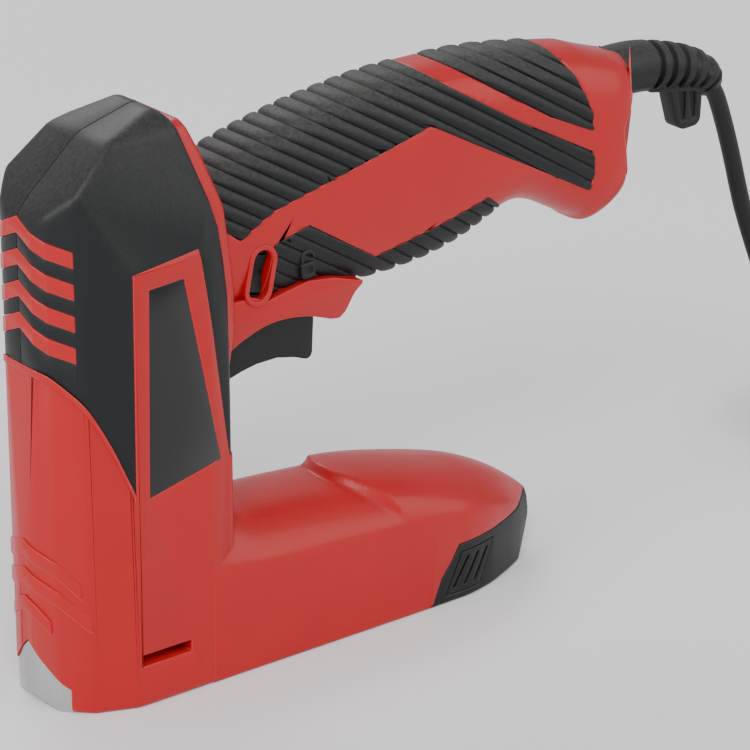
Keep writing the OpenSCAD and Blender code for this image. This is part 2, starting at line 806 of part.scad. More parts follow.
module switch_button() {
    color(red) translate([nub_x, 0, switch_z - 3 + fit]) cylinder(r = 1.3, h = 5);
}
module lock_button() {
    color(black) difference() {
        lock_bar(-grip_w / 2 + 2.2, grip_w / 2 - 1.4 + lock_travel, 0);
        translate([lock_place[0] + 8, -grip_w / 2 - 4.2, lock_place[1]])
            rotate([0, lock_tilt, 0]) translate([-8, 0, 0]) cylinder(r = 8, h = 30, center = true);
    }
}

// ---- electrical parts -----------------------------------------------------

module circuit_board() {
    color([0.10, 0.35, 0.18]) span([111, 8, 137], [165, 9.6, 168]);
}
module board_parts() {
    color([0.2, 0.2, 0.25]) {
        bar_y(126, 152, -4, 8, 6);
        span([140, 2, 142], [150, 8, 157]);
        span([154, 0, 146], [162, 8, 158]);
        span([113, 3, 158], [121, 8, 166]);
    }
}
module terminal_block() {
    color([0.9, 0.9, 0.88]) difference() {
        span([176, -8, 140], [186, 8, 149]);
        for (y = [-4, 4]) {
            bar_x(y, 144.5, 170, 190, 1.6);
            translate([181, y, 146]) cylinder(r = 1.5, h = 8);
        }
    }
}
sheath_start = 196;
module inner_leads() {
    color(black) bar_x(0, relief_z, sheath_start, clamp_x + 17, cord_d / 2);
    for (s = [-1, 1])
        color(s > 0 ? "RoyalBlue" : "SaddleBrown") tube(smooth_path([
            [sheath_start - 0.1, s * 1.5, relief_z], [192, s * 3, 160], [189.5, s * 4, 152],
            [188.5, s * 4, 146.5], [186.2, s * 4, 144.5]], 3),
            [for (i = [0:12]) 1.1], 8);
    for (s = [-1, 1])
        color(s > 0 ? "RoyalBlue" : "SaddleBrown") tube(smooth_path([
            [175.8, s * 4, 144.5], [172, s * 4, 146], [169, s * 2 + 4, 150],
            [164.8, 1.2 * s + 5, 152]], 3), [for (i = [0:9]) 1.1], 8);
    color("SaddleBrown") tube(smooth_path([[112.6, 5, 162], [100, 0, 158], [88, -2, 150],
        [84, -2, 140], [82, -2, 133.2]], 4), [for (i = [0:16]) 1], 8);
    color("RoyalBlue") tube(smooth_path([[112.6, 6.8, 160], [96, 8, 160], [76, 7, 158],
        [56, 6, 152], [42, 6, 146], [36, 6, 138], [31, 6, 129], [27.9, 5, 126]], 3),
        [for (i = [0:21]) 1], 8);
}

module clamp_screw_holes() {
    for (s = [-1, 1])
        translate([clamp_x, s * 7, 150]) cylinder(r = 1.45, h = 20);
}
module cord_clamp() {
    z0 = relief_z + cord_d / 2 + 0.1;
    color([0.15, 0.15, 0.16]) difference() {
        span([clamp_x - 3.5, -10.5, z0], [clamp_x + 3.5, 10.5, z0 + 3]);
        for (s = [-1, 1]) translate([clamp_x, s * 7, 150]) cylinder(r = 1.7, h = 30);
    }
}
module clamp_screws() {
    z0 = relief_z + cord_d / 2 + 3.1;
    for (s = [-1, 1])
        color(steel) translate([clamp_x, s * 7, 0]) {
            translate([0, 0, 153]) cylinder(r = 1.4, h = z0 - 153);
            translate([0, 0, z0]) cylinder(r = 2.6, h = 1.8);
        }
}

module housing_screws() {
    for (p = concat(screw_places, [cover_screw]))
        color(steel) difference() {
            union() {
                bar_y(p[0], p[1], screw_seat - screw_l, screw_seat, shank_r);
                bar_y(p[0], p[1], screw_seat, screw_seat + 2.2, head_r);
            }
            translate([p[0], screw_seat + 2.2, p[1]]) cube([3.4, 2.4, 0.8], center = true);
            translate([p[0], screw_seat + 2.2, p[1]]) cube([0.8, 2.4, 3.4], center = true);
        }
}

// ---- strain relief, lead and plug -----------------------------------------

// Centre line of the strain relief behind the grip, and the lead's exit
relief_path = [[grip_end, 0, relief_z], [238, 0, 163.3], [246, 0, 162.2], [254, 0, 160.6],
    [262, 0, 158.4], [268.6, 0, 155.3], [273.5, 0, 150]];
relief_radii = [9, 9, 8.8, 8.4, 7.8, 6.8, 5];
module strain_relief() {
    color(black) {
        bar_x(0, relief_z, clamp_x + 17.2, grip_end + 1, relief_r);
        bar_x(0, relief_z, grip_end - 9, grip_end - 5.4, relief_r + 2);
        tube(relief_path, relief_radii, 12);
        slab_y([[252, 156], [257, 138.5], [259, 137], [266, 137.5], [267.5, 139], [267, 152]],
            -3.5, 3.5);
    }
}

// Route of the lead from the strain relief to the hank, points chosen by hand
lead_route = [[274, 0, 149.4], [277.2, 0, 144.5], [282, 0, 132], [286.5, 0, 118],
    [290.5, -1, 102], [294.5, -4, 86], [298.5, -8, 69], [301.5, -11.5, 52], [303.8, -14.2, 37],
    [306, -16.4, 24], [310.6, -19, 14], [317.6, -22.4, 7.6], [326.8, -25.4, 4.5]];
module lead() {
    color(black) tube(smooth_path(lead_route, 2), [for (i = [0:24]) cord_d / 2], cord_sides);
}

// The rest of the lead is folded into a tied hank behind the tool
hank_x = [349, 420.5];
hank_in = 16.25;
hank_out = hank_in + 2 * cord_d;
hank_h = 3 * cord_d;
tie_t = 0.8;
module hank_ring(r, z0, z1) {
    for (x = hank_x) translate([x, 0, z0]) cylinder(r = r, h = z1 - z0);
    span([hank_x[0], -r, z0], [hank_x[1], r, z1]);
}
module lead_coil() {
    color(black) difference() {
        hank_ring(hank_out, tie_t, tie_t + hank_h);
        hank_ring(hank_in, tie_t - 1, tie_t + hank_h + 1);
    }
}
module lead_tie() {
    tie_x = (hank_x[0] + hank_x[1]) / 2 - 12;
    color([0.15, 0.15, 0.15]) difference() {
        span([tie_x - 5, -hank_out - tie_t, 0], [tie_x + 5, hank_out + tie_t, hank_h + 2 * tie_t]);
        span([tie_x - 6, -hank_out - 0.1, tie_t - 0.1],
            [tie_x + 6, hank_out + 0.1, hank_h + tie_t + 0.1]);
    }
}

// The plug lies on the hank, over its end loop
plug_place = [434, -8, hank_h + tie_t + fit + 9];
module plug_body() {
    color(black) translate(plug_place) {
        union() {
            span([-7, -17.5, -9], [7, 17.5, 8]);
            span([-20, -12, -8], [-7, 12, 7]);
            span([-34, -6, -6.5], [-20, 6, 5]);
        }
    }
}
module plug_pins() {
    for (s = [-1, 1])
        color(steel) translate(plug_place)
            bar_x(s * plug_pin_pitch / 2, 0, 7, 7 + plug_pin_l, plug_pin_d / 2);
}

housing_left();
housing_right();
head_cover_left();
head_cover_right();
front_stripes();
name_plates();
soft_grip_left();
soft_grip_right();
nose_piece();
blade_guide();
magazine_channel();
staple_stick();
drawer_rail();
drawer_end();
pusher_rod();
pusher();
pusher_spring();
tab_left();
tab_right();
tab_springs();
solenoid_frame();
bobbin();
winding();
armature();
push_rod();
blade_carrier();
driver_blade();
blade_screws();
return_spring();
upper_bumper();
bumper_bracket();
lower_bumper();
trigger();
trigger_pin();
trigger_spring();
lock_button();
microswitch();
switch_button();
circuit_board();
board_parts();
terminal_block();
inner_leads();
cord_clamp();
clamp_screws();
housing_screws();
strain_relief();
lead();
lead_coil();
lead_tie();
plug_body();
plug_pins();
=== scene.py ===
import math

import bmesh
import bpy
from bpy.props import FloatProperty, FloatVectorProperty, IntProperty, PointerProperty
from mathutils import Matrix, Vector


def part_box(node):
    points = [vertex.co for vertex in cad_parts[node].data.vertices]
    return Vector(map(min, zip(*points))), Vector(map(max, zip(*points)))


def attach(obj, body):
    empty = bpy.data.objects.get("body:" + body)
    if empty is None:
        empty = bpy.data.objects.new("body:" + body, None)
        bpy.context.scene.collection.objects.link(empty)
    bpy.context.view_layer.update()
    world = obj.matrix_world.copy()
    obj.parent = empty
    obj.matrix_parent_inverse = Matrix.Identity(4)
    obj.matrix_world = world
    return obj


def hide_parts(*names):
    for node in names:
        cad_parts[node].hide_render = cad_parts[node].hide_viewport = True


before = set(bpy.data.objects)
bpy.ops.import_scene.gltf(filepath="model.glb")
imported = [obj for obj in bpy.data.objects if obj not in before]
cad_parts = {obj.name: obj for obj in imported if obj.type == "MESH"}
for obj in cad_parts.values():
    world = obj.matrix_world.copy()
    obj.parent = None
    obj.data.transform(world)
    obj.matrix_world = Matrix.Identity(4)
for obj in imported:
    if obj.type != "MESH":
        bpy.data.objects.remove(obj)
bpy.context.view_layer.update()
MM = 0.001
FAR = 300

bl_info = {
    "name": "Mains Staple Gun",
    "version": (1, 0, 0),
    "blender": (4, 5, 0),
    "location": "View3D > Sidebar > Staple Gun",
    "description": "Builds the looks of a mains-powered staple gun round its packed parts",
    "category": "Object",
}

# ---- outlines shared by several pieces, in millimetres ---------------------

# Lower edge of the black head cover, from the prow to its pointed tip
ARCH = [(-20.5, 116.5), (-13, 116.5), (-8, 112), (-2, 104), (4, 92), (8, 82), (11.3, 73.5)]
TONGUE = [(12, 147), (37.1, 150), (48, 83.5), (49.4, 76.6)]
REAR_LINE = [(36, 190), (44.6, 163.5), (48, 147), (50.5, 130), (51.2, 105)]
COVER_ZONE = ARCH + TONGUE + [(53, 77), (53, 105)] + REAR_LINE[-2::-1] + [(30, 203), (-20.5, 203)]
COVER_SIDE = [(-13, 50), (-13, 165), (-8, 170.7), (10.4, 187), (31.6, 193)] + REAR_LINE + [(51.2, 50)]
COLUMN_SIDE = [(-14.5, 0), (-14.5, 60), (-12.6, 118), (10, 160), (42, 160), (50, 130), (51.5, 110), (51.5, 0)]
HALF_PLAN = [(-14.8, 0), (-14, 5), (-11, 12.5), (-3, 20.5), (11, 26), (41, 26), (48, 23.5), (58, 20)]
FRONT_LEAN = [(26, -5), (26, 147), (16.5, 187), (8.5, 194)]
PLATE = [(17.9, 141), (30.8, 142), (43.9, 78.1), (16.4, 71.8)]
UPPER_SKIN = [(40, 200), (40, 160), (57.5, 146), (60, 147.7), (66, 151), (71, 153.3), (101, 160.2),
              (134.6, 168), (167, 150.4), (204, 130.5), (205, 138), (203.6, 145), (172, 161.6),
              (146.5, 177), (126, 191.5), (120, 200)]
REAR_SKIN = [(137, 190.4), (163.4, 173.7), (185, 160.7), (203.5, 152.4), (203.5, 158.5),
             (198, 171.5), (190, 182.7), (180, 195)]
LOWER_SKIN = [(70.6, 142), (84.4, 145.6), (112.9, 127.5), (142, 133.7), (159, 138), (169, 131),
              (178, 122), (160, 108), (108, 108), (106, 121.6), (94, 125.4), (84, 126.4),
              (69.5, 124.3)]
BAY = [(129, -2), (134, 9.9), (138, 14.9), (141.6, 20.5), (205, 20.5), (205, -2)]
DRAWER_END = [(129.4, -1), (134.4, 9.8), (138.4, 14.8), (142.2, 20.2), (190.5, 20.2), (187, 13),
              (178, 0.8), (174, -1)]
TAB = [(136, 3), (151.5, 3), (158.5, 17), (143, 17)]
SHROUD = [(50, 126), (50, 107.5), (58, 111), (67, 114.5), (76, 115.2), (86, 113.6), (98, 110),
          (103, 117.5), (106, 120.4), (106.3, 121.6), (94, 125.4), (84, 126.6), (76, 125.2),
          (68.2, 123.6), (62, 126)]
TRIGGER = [(57.6, 94.2), (61, 94.6), (66, 96), (72, 97.1), (80, 97.3), (87, 95.8), (92, 93.9),
           (93.8, 94.4), (94.4, 96), (95, 108), (93, 112.4), (84, 115), (66, 119.5), (60, 119.5),
           (57.6, 116)]
# Heights of the grip and the magazine, and half widths, against length
GRIP_TOP = [(40, 166), (46, 167), (57, 170), (66, 172.4), (74, 174.8), (84, 177.2), (95, 179.6),
            (108, 181.5), (118, 182.9), (128, 183.8), (145, 184.2), (161, 184), (174, 183),
            (187, 181.4), (199, 179.6), (209, 177.9), (222, 174.8), (230, 172), (240, 171)]
GRIP_BOTTOM = [(40, 117), (100, 117), (120, 117), (128, 117.3), (141, 118.8), (154, 122.2),
               (165, 126.8), (172, 129.4), (180, 129.6), (190, 126.2), (198, 121.8),
               (205, 118.2), (212, 115.6), (217, 116.4), (221.4, 118.6), (230, 122), (240, 124)]
KNOB_REAR = [(112, 214), (116, 217), (119.4, 221.4), (124, 225.6), (131, 227.2), (140, 226),
             (147, 223.4), (151, 223.6), (155, 228.4), (158, 229.8), (166, 229.9), (171, 227.5),
             (175, 221), (186, 214)]
MAG_TOP = [(40, 70), (44, 62), (51.5, 57.2), (56, 55.6), (62, 52.5), (70, 51.4), (86, 50.2),
           (99.4, 48.9), (114, 47.3), (144, 43), (160, 39.1), (172, 33.9), (184, 25.8),
           (192, 18.5), (195, 12.6)]
MAG_HALF = [(40, 26), (144, 26), (153, 24.6), (161, 22.2), (176, 15.3), (188, 7.3), (193, 3.4),
            (195, 1)]
MAG_CREASE = [(40, 38.5), (111, 35.4), (144, 32.5), (165, 26.5), (180, 18), (195, 8)]
LOCK = (65, 133)
LOCK_TILT = math.radians(12)
LOCK_R, LOCK_L = 3.2, 16
RIB_TILT = math.radians(31.5)
STRIPES, STRIPE_TOP, STRIPE_PITCH = 4, 165, 10.4
RELIEF_Z = 163.5

# Rooms left inside, as the low and the high corner
HEAD_ROOM = ((-5.5, -15, 23), (32, 15, 160))
TRIGGER_ROOM = ((54.6, -7.9, 85), (98.4, 7.9, 128))
CHANNEL_HALF, CHANNEL_TOP = 7.3, 17.8

# Wells of the housing's screws, which enter from the far side
WELL_R, WELL_FLOOR = 3.1, 12.1

# Route of the lead, its points listed, the same as in the part's source
LEAD_ROUTE = [(274, 0, 149.4), (277.2, 0, 144.5), (282, 0, 132), (286.5, 0, 118),
              (290.5, -1, 102), (294.5, -4, 86), (298.5, -8, 69), (301.5, -11.5, 52),
              (303.8, -14.2, 37), (306, -16.4, 24), (310.6, -19, 14), (317.6, -22.4, 7.6),
              (326.8, -25.4, 4.5)]
RELIEF_PATH = [(230, RELIEF_Z), (238, 163.3), (246, 162.2), (254, 160.6), (262, 158.4),
               (268.6, 155.3), (273.5, 150)]
HANK = (349, 420.5)
HANK_TURNS = [(26, 0), (19.5, 0), (19.5, 1), (26, 1), (26, 2), (19.5, 2)]
CORD_D = 6.5
TIE_T = 0.8
PLUG = (434, -8, 29.6)


# ---- numbers ---------------------------------------------------------------


def along(table, x):
    """Height of a smooth line through a table of points, at x."""
    if x <= table[0][0]:
        return table[0][1]
    if x >= table[-1][0]:
        return table[-1][1]
    for i in range(len(table) - 1):
        if x <= table[i + 1][0]:
            break
    (x0, a), (x1, b) = table[i], table[i + 1]
    t = (x - x0) / (x1 - x0)

    def slope(k):
        if k <= 0 or k >= len(table) - 1:
            return (b - a) / (x1 - x0)
        return (table[k + 1][1] - table[k - 1][1]) / (table[k + 1][0] - table[k - 1][0])

    m0, m1 = slope(i) * (x1 - x0), slope(i + 1) * (x1 - x0)
    return ((2 * t**3 - 3 * t * t + 1) * a + (t**3 - 2 * t * t + t) * m0
            + (3 * t * t - 2 * t**3) * b + (t**3 - t * t) * m1)


def ease(t):
    """Smooth step from 0 to 1."""
    t = max(0.0, min(1.0, t))
    return t * t * (3 - 2 * t)


def smooth_line(points, parts):
    """Smooth open curve through points of any dimension."""
    out = []
    for i in range(len(points) - 1):
        a, b = points[max(i - 1, 0)], points[i]
        c, d = points[i + 1], points[min(i + 2, len(points) - 1)]
        for k in range(parts):
            t = k / parts
            out.append(tuple(
                0.5 * (2 * q + (r - p) * t + (2 * p - 5 * q + 4 * r - s) * t * t
                       + (3 * q - p - 3 * r + s) * t**3)
                for p, q, r, s in zip(a, b, c, d)))
    return out + [tuple(points[-1])]


def rounded(points, radii, parts=4):
    """Closed outline with each corner turned by a short curve."""
    out = []
    n = len(points)
    for i, r in enumerate(radii):
        p, a, b = Vector(points[i]), Vector(points[i - 1]), Vector(points[(i + 1) % n])
        u, v = a - p, b - p
        reach = min(r, u.length * 0.48, v.length * 0.48)
        start, end = p + u.normalized() * reach, p + v.normalized() * reach
        for k in range(parts + 1):
            t = k / parts
            out.append(tuple(start * (1 - t) ** 2 + p * 2 * t * (1 - t) + end * t * t))
    return out


# ---- meshes ----------------------------------------------------------------


def add_object(name, mesh):
    obj = bpy.data.objects.new(name, mesh)
    bpy.context.scene.collection.objects.link(obj)
    return obj


def add_mesh(name, points, faces):
    """Object from points in millimetres, its faces turned outwards."""
    mesh = bpy.data.meshes.new(name)
    mesh.from_pydata([[c * MM for c in p] for p in points], [], faces)
    bm = bmesh.new()
    bm.from_mesh(mesh)
    bmesh.ops.remove_doubles(bm, verts=bm.verts, dist=1e-7)
    bmesh.ops.recalc_face_normals(bm, faces=bm.faces)
    bm.to_mesh(mesh)
    bm.free()
    return add_object(name, mesh)


def loft(name, rings):
    """Closed skin over rings of the same number of points."""
    n = len(rings[0])
    faces = [(i * n + k, i * n + (k + 1) % n, (i + 1) * n + (k + 1) % n, (i + 1) * n + k)
             for i in range(len(rings) - 1) for k in range(n)]
    last = (len(rings) - 1) * n
    faces += [tuple(range(n - 1, -1, -1)), tuple(range(last, last + n))]
    return add_mesh(name, [p for ring in rings for p in ring], faces)


def prism_y(name, outline, y0, y1):
    """Outline of (x, z) points, extruded along y."""
    return loft(name, [[(x, y, z) for x, z in outline] for y in (y0, y1)])


def prism_x(name, outline, x0, x1):
    """Outline of (y, z) points, extruded along x."""
    return loft(name, [[(x, y, z) for y, z in outline] for x in (x0, x1)])


def block(name, low, high):
    (a, b, c), (d, e, f) = low, high
    return prism_y(name, [(a, c), (d, c), (d, f), (a, f)], b, e)


def rod_y(name, x, z, y0, y1, r, sides=32):
    return prism_y(name, [(x + r * math.cos(2 * math.pi * k / sides),
                           z + r * math.sin(2 * math.pi * k / sides)) for k in range(sides)], y0, y1)


def planes_of(outline, place, grow=0.0):
    """Planes (point, normal) of a convex outline; place() sets a 2-D point or direction in space."""
    cx = sum(p[0] for p in outline) / len(outline)
    cy = sum(p[1] for p in outline) / len(outline)
    planes = []
    for i, p in enumerate(outline):
        q = outline[(i + 1) % len(outline)]
        d = Vector((q[0] - p[0], q[1] - p[1]))
        if d.length < 1e-6:
            continue
        normal = Vector((d.y, -d.x)).normalized()
        if normal.dot(Vector((p[0] - cx, p[1] - cy))) < 0:
            normal = -normal
        at = Vector(p[:2]) + normal * grow
        planes.append((place(at.x, at.y), place(normal.x, normal.y)))
    return planes


def planed(name, low, high, planes):
    """Block cut down by planes to a many-sided solid."""
    bm = bmesh.new()
    bmesh.ops.create_cube(bm, size=1)
    for v in bm.verts:
        v.co = Vector([low[i] if v.co[i] < 0 else high[i] for i in range(3)])
    for at, normal in planes:
        out = bmesh.ops.bisect_plane(bm, geom=bm.verts[:] + bm.edges[:] + bm.faces[:], dist=1e-4,
                                     plane_co=Vector(at), plane_no=Vector(normal), clear_outer=True)
        edges = [e for e in out["geom_cut"] if isinstance(e, bmesh.types.BMEdge)]
        if len(edges) > 2:
            bmesh.ops.contextual_create(bm, geom=edges)
    bmesh.ops.remove_doubles(bm, verts=bm.verts, dist=0.02)
    for v in bm.verts:
        v.co *= MM
    bmesh.ops.recalc_face_normals(bm, faces=bm.faces)
    mesh = bpy.data.meshes.new(name)
    bm.to_mesh(mesh)
    bm.free()
    return add_object(name, mesh)


def settle(obj):
    """Turns the object's modifiers into plain mesh."""
    graph = bpy.context.evaluated_depsgraph_get()
    graph.update()
    mesh = bpy.data.meshes.new_from_object(obj.evaluated_get(graph))
    obj.modifiers.clear()
    obj.data = mesh
    return obj


def shape(obj, tool, operation="DIFFERENCE"):
    """Cuts obj with tool, joins them or keeps what they share; the tool is removed."""
    m = obj.modifiers.new("shape", "BOOLEAN")
    m.object, m.operation, m.solver = tool, operation, "EXACT"
    settle(obj)
    bpy.data.objects.remove(tool)
    if not obj.data.polygons:
        raise RuntimeError(f"{obj.name} has nothing left after a {operation.lower()}")
    return obj


def soften(obj, width, segments=2, angle=30, clamp=True):
    """Rounds the object's edges."""
    m = obj.modifiers.new("soften", "BEVEL")
    m.width, m.segments, m.limit_method = width * MM, segments, "ANGLE"
    m.angle_limit, m.use_clamp_overlap, m.miter_outer = math.radians(angle), clamp, "MITER_ARC"
    return settle(obj)


def dressed(obj, body, finish, replaces=(), smooth=32):
    """Shades a finished piece and sets its body and material."""
    mesh = obj.data
    if obj.type == "MESH":
        for p in mesh.polygons:
            p.use_smooth = True
        mesh.set_sharp_from_angle(angle=math.radians(smooth))
        mesh.materials.clear()
        mesh.materials.append(finish)
    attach(obj, body)
    if replaces:
        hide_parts(*replaces)
    return obj


def tube_rings(path, radii, sides, flat=1.0):
    """Rings round a path that keep their up direction."""
    rings = []
    points = [Vector(p) for p in path]
    for i, p in enumerate(points):
        d = (points[min(i + 1, len(points) - 1)] - points[max(i - 1, 0)]).normalized()
        side = Vector((0, 1, 0)) if abs(d.y) < 0.8 else Vector((0, 0, 1))
        u = d.cross(side).normalized() if i == 0 else (last - d * last.dot(d)).normalized()
        last = u
        v = d.cross(u)
        rings.append([tuple(p + radii[i] * (math.cos(2 * math.pi * k / sides) * u
                                            + flat * math.sin(2 * math.pi * k / sides) * v))
                      for k in range(sides)])
    return rings


# ---- shader groups and finishes --------------------------------------------


def open_group(name, inputs, outputs):
    tree = bpy.data.node_groups.new(name, "ShaderNodeTree")
    for label, kind, value in inputs:
        s = tree.interface.new_socket(name=label, in_out="INPUT", socket_type=kind)
        if value is not None:
            s.default_value = value
    for label, kind in outputs:
        tree.interface.new_socket(name=label, in_out="OUTPUT", socket_type=kind)
    return tree, tree.nodes.new("NodeGroupInput"), tree.nodes.new("NodeGroupOutput")


def node(tree, kind, settings=None, **sockets):
    n = tree.nodes.new(kind)
    for key, value in (settings or {}).items():
        setattr(n, key, value)
    for key, value in sockets.items():
        s = n.inputs[int(key[1:])] if key[0] == "i" and key[1:].isdigit() else n.inputs[key]
        if isinstance(value, bpy.types.NodeSocket):
            tree.links.new(value, s)
        else:
            s.default_value = value
    return n


def maths(tree, operation, a, b=0.5, c=0.0):
    return node(tree, "ShaderNodeMath", {"operation": operation}, i0=a, i1=b, i2=c).outputs[0]


def moulded_grain():
    """Fine spark-eroded grain and slow waviness of a moulding, as a height and a mask."""
    tree, given, out = open_group("Moulded Grain", [
        ("Vector", "NodeSocketVector", None), ("Grain Size", "NodeSocketFloat", 0.0005),
        ("Waviness", "NodeSocketFloat", 0.3)],
        [("Height", "NodeSocketFloat"), ("Mottle", "NodeSocketFloat")])
    scale = maths(tree, "DIVIDE", 1.0, given.outputs["Grain Size"])
    fine = node(tree, "ShaderNodeTexNoise", {"noise_dimensions": "3D"}, Vector=given.outputs["Vector"],
                Scale=scale, Detail=3.0, Roughness=0.6)
    slow = node(tree, "ShaderNodeTexNoise", {}, Vector=given.outputs["Vector"], Scale=45.0, Detail=2.0)
    wide = maths(tree, "MULTIPLY", slow.outputs["Fac"], given.outputs["Waviness"])
    tree.links.new(maths(tree, "ADD", fine.outputs["Fac"], wide), out.inputs["Height"])
    tree.links.new(slow.outputs["Fac"], out.inputs["Mottle"])
    return tree


def painted_edge_highlight():
    """Mask of edges that are painted lighter as a highlight, broken up by noise, from the rounded normal
    beside the true one.
    """
    tree, given, out = open_group("Painted Edge Highlight", [
        ("Vector", "NodeSocketVector", None), ("Radius", "NodeSocketFloat", 0.0006)],
        [("Mask", "NodeSocketFloat")])
    rounded_normal = node(tree, "ShaderNodeBevel", {"samples": 4}, Radius=given.outputs["Radius"])
    true_normal = node(tree, "ShaderNodeNewGeometry")
    same = node(tree, "ShaderNodeVectorMath", {"operation": "DOT_PRODUCT"},
                i0=rounded_normal.outputs[0], i1=true_normal.outputs["Normal"]).outputs["Value"]
    turned = maths(tree, "MULTIPLY", maths(tree, "SUBTRACT", 1.0, same), 5.0)
    breaks = node(tree, "ShaderNodeTexNoise", {}, Vector=given.outputs["Vector"], Scale=260.0, Detail=3.0)
    highlit = maths(tree, "MULTIPLY", turned, maths(tree, "ADD", breaks.outputs["Fac"], 0.25))
    tree.links.new(node(tree, "ShaderNodeClamp", {}, Value=highlit).outputs[0], out.inputs["Mask"])
    return tree


def workshop_dust():
    """Mask of thin dust that lies on upward faces."""
    tree, given, out = open_group("Workshop Dust", [
        ("Vector", "NodeSocketVector", None), ("Amount", "NodeSocketFloat", 0.1)],
        [("Mask", "NodeSocketFloat")])
    normal = node(tree, "ShaderNodeNewGeometry").outputs["Normal"]
    up = node(tree, "ShaderNodeSeparateXYZ", {}, Vector=normal).outputs["Z"]
    specks = node(tree, "ShaderNodeTexNoise", {}, Vector=given.outputs["Vector"], Scale=900.0, Detail=2.0)
    lies = maths(tree, "MULTIPLY", maths(tree, "MAXIMUM", up, 0.0), specks.outputs["Fac"])
    tree.links.new(maths(tree, "MULTIPLY", lies, given.outputs["Amount"]), out.inputs["Mask"])
    return tree


def group(tree, name):
    build = {"Moulded Grain": moulded_grain, "Painted Edge Highlight": painted_edge_highlight, "Workshop Dust": workshop_dust}
    n = tree.nodes.new("ShaderNodeGroup")
    n.node_tree = bpy.data.node_groups.get(name) or build[name]()
    return n


def moulding(name, colour, rough, grain, depth, highlight_amount, dust, coat=0.0, waviness=0.3, highlight_lift=0.05):
    """Moulded plastic or rubber: its colour, grain, edges painted lighter as a highlight, and dust."""
    found = bpy.data.materials.get(name)
    if found:
        return found
    material = bpy.data.materials.new(name)
    material.use_nodes = True
    tree = material.node_tree
    shader = tree.nodes["Principled BSDF"]
    place = node(tree, "ShaderNodeTexCoord").outputs["Object"]
    skin = group(tree, "Moulded Grain")
    skin.inputs["Grain Size"].default_value, skin.inputs["Waviness"].default_value = grain, waviness
    edge, soil = group(tree, "Painted Edge Highlight"), group(tree, "Workshop Dust")
    soil.inputs["Amount"].default_value = dust
    for g in (skin, edge, soil):
        tree.links.new(place, g.inputs["Vector"])
    # The lighter edge colour is a painted highlight where the edges catch the light, not wear.
    highlight_colour = tuple(min(1.0, c * (1 + 2.2 * highlight_amount) + highlight_lift * highlight_amount) for c in colour[:3]) + (1,)
    dark = tuple(c * 0.86 for c in colour[:3]) + (1,)
    base = node(tree, "ShaderNodeMix", {"data_type": "RGBA"}, Factor=skin.outputs["Mottle"],
                i6=dark, i7=tuple(colour[:3]) + (1,)).outputs[2]
    painted_highlight = node(tree, "ShaderNodeMix", {"data_type": "RGBA"},
                  Factor=maths(tree, "MULTIPLY", edge.outputs["Mask"], min(1.0, highlight_amount)),
                  i6=base, i7=highlight_colour).outputs[2]
    dusted = node(tree, "ShaderNodeMix", {"data_type": "RGBA"}, Factor=soil.outputs["Mask"],
                  i6=painted_highlight, i7=(0.55, 0.52, 0.48, 1)).outputs[2]
    tree.links.new(dusted, shader.inputs["Base Color"])
    roughness = maths(tree, "MULTIPLY_ADD", skin.outputs["Mottle"], 0.16, rough - 0.08)
    tree.links.new(maths(tree, "ADD", roughness, maths(tree, "MULTIPLY", soil.outputs["Mask"], 0.4)),
                   shader.inputs["Roughness"])
    bump = node(tree, "ShaderNodeBump", {}, Height=skin.outputs["Height"], Strength=0.6, Distance=depth)
    tree.links.new(bump.outputs[0], shader.inputs["Normal"])
    shader.inputs["Specular IOR Level"].default_value = 0.35
    shader.inputs["Coat Weight"].default_value = coat
    shader.inputs["Coat Roughness"].default_value = 0.12
    return material


def metal(name, colour, rough, stretch=(1, 1, 1), depth=0.00004):
    """Sheet, ground or drawn metal with fine scratches along one way."""
    found = bpy.data.materials.get(name)
    if found:
        return found
    material = bpy.data.materials.new(name)
    material.use_nodes = True
    tree = material.node_tree
    shader = tree.nodes["Principled BSDF"]
    place = node(tree, "ShaderNodeTexCoord").outputs["Object"]
    turned = node(tree, "ShaderNodeMapping", {}, Vector=place, Scale=stretch)
    lines = node(tree, "ShaderNodeTexNoise", {}, Vector=turned.outputs[0], Scale=900.0, Detail=4.0)
    stain = node(tree, "ShaderNodeTexNoise", {}, Vector=place, Scale=60.0, Detail=3.0)
    base = node(tree, "ShaderNodeMix", {"data_type": "RGBA"}, Factor=stain.outputs["Fac"],
                i6=tuple(c * 0.75 for c in colour) + (1,), i7=tuple(colour) + (1,)).outputs[2]
    tree.links.new(base, shader.inputs["Base Color"])
    roughness = maths(tree, "MULTIPLY_ADD", lines.outputs["Fac"], 0.25, rough - 0.1)
    tree.links.new(roughness, shader.inputs["Roughness"])
    bump = node(tree, "ShaderNodeBump", {}, Height=lines.outputs["Fac"], Strength=0.5, Distance=depth)
    tree.links.new(bump.outputs[0], shader.inputs["Normal"])
    shader.inputs["Metallic"].default_value = 1.0
    return material


def sizes():
    return bpy.context.scene.staple_gun_sizes


def colours():
    return bpy.context.scene.staple_gun_colours


def red_plastic():
    # The red's edges get a strong pinkish painted highlight.
    return moulding("Red Nylon", colours().shell, 0.40, 0.0009, 0.00006, 0.55, 0.03, coat=0.08, highlight_lift=0.35)


def black_plastic():
    return moulding("Black Nylon", colours().cover, 0.46, 0.0008, 0.00009, 0.9, 0.10, highlight_lift=0.03)


def soft_rubber():
    return moulding("Soft Grip Rubber", colours().grip, 0.56, 0.0006, 0.00012, 0.9, 0.16, highlight_lift=0.03)


def plate_gloss():
    return moulding("Gloss Plate", (0.003, 0.003, 0.0035), 0.16, 0.004, 0.00001, 0.4, 0.03, coat=0.3)


def lead_rubber():
    return moulding("Lead Rubber", colours().lead, 0.5, 0.0007, 0.0001, 0.8, 0.12, highlight_lift=0.03)


# ---- solids that several pieces are cut from -------------------------------


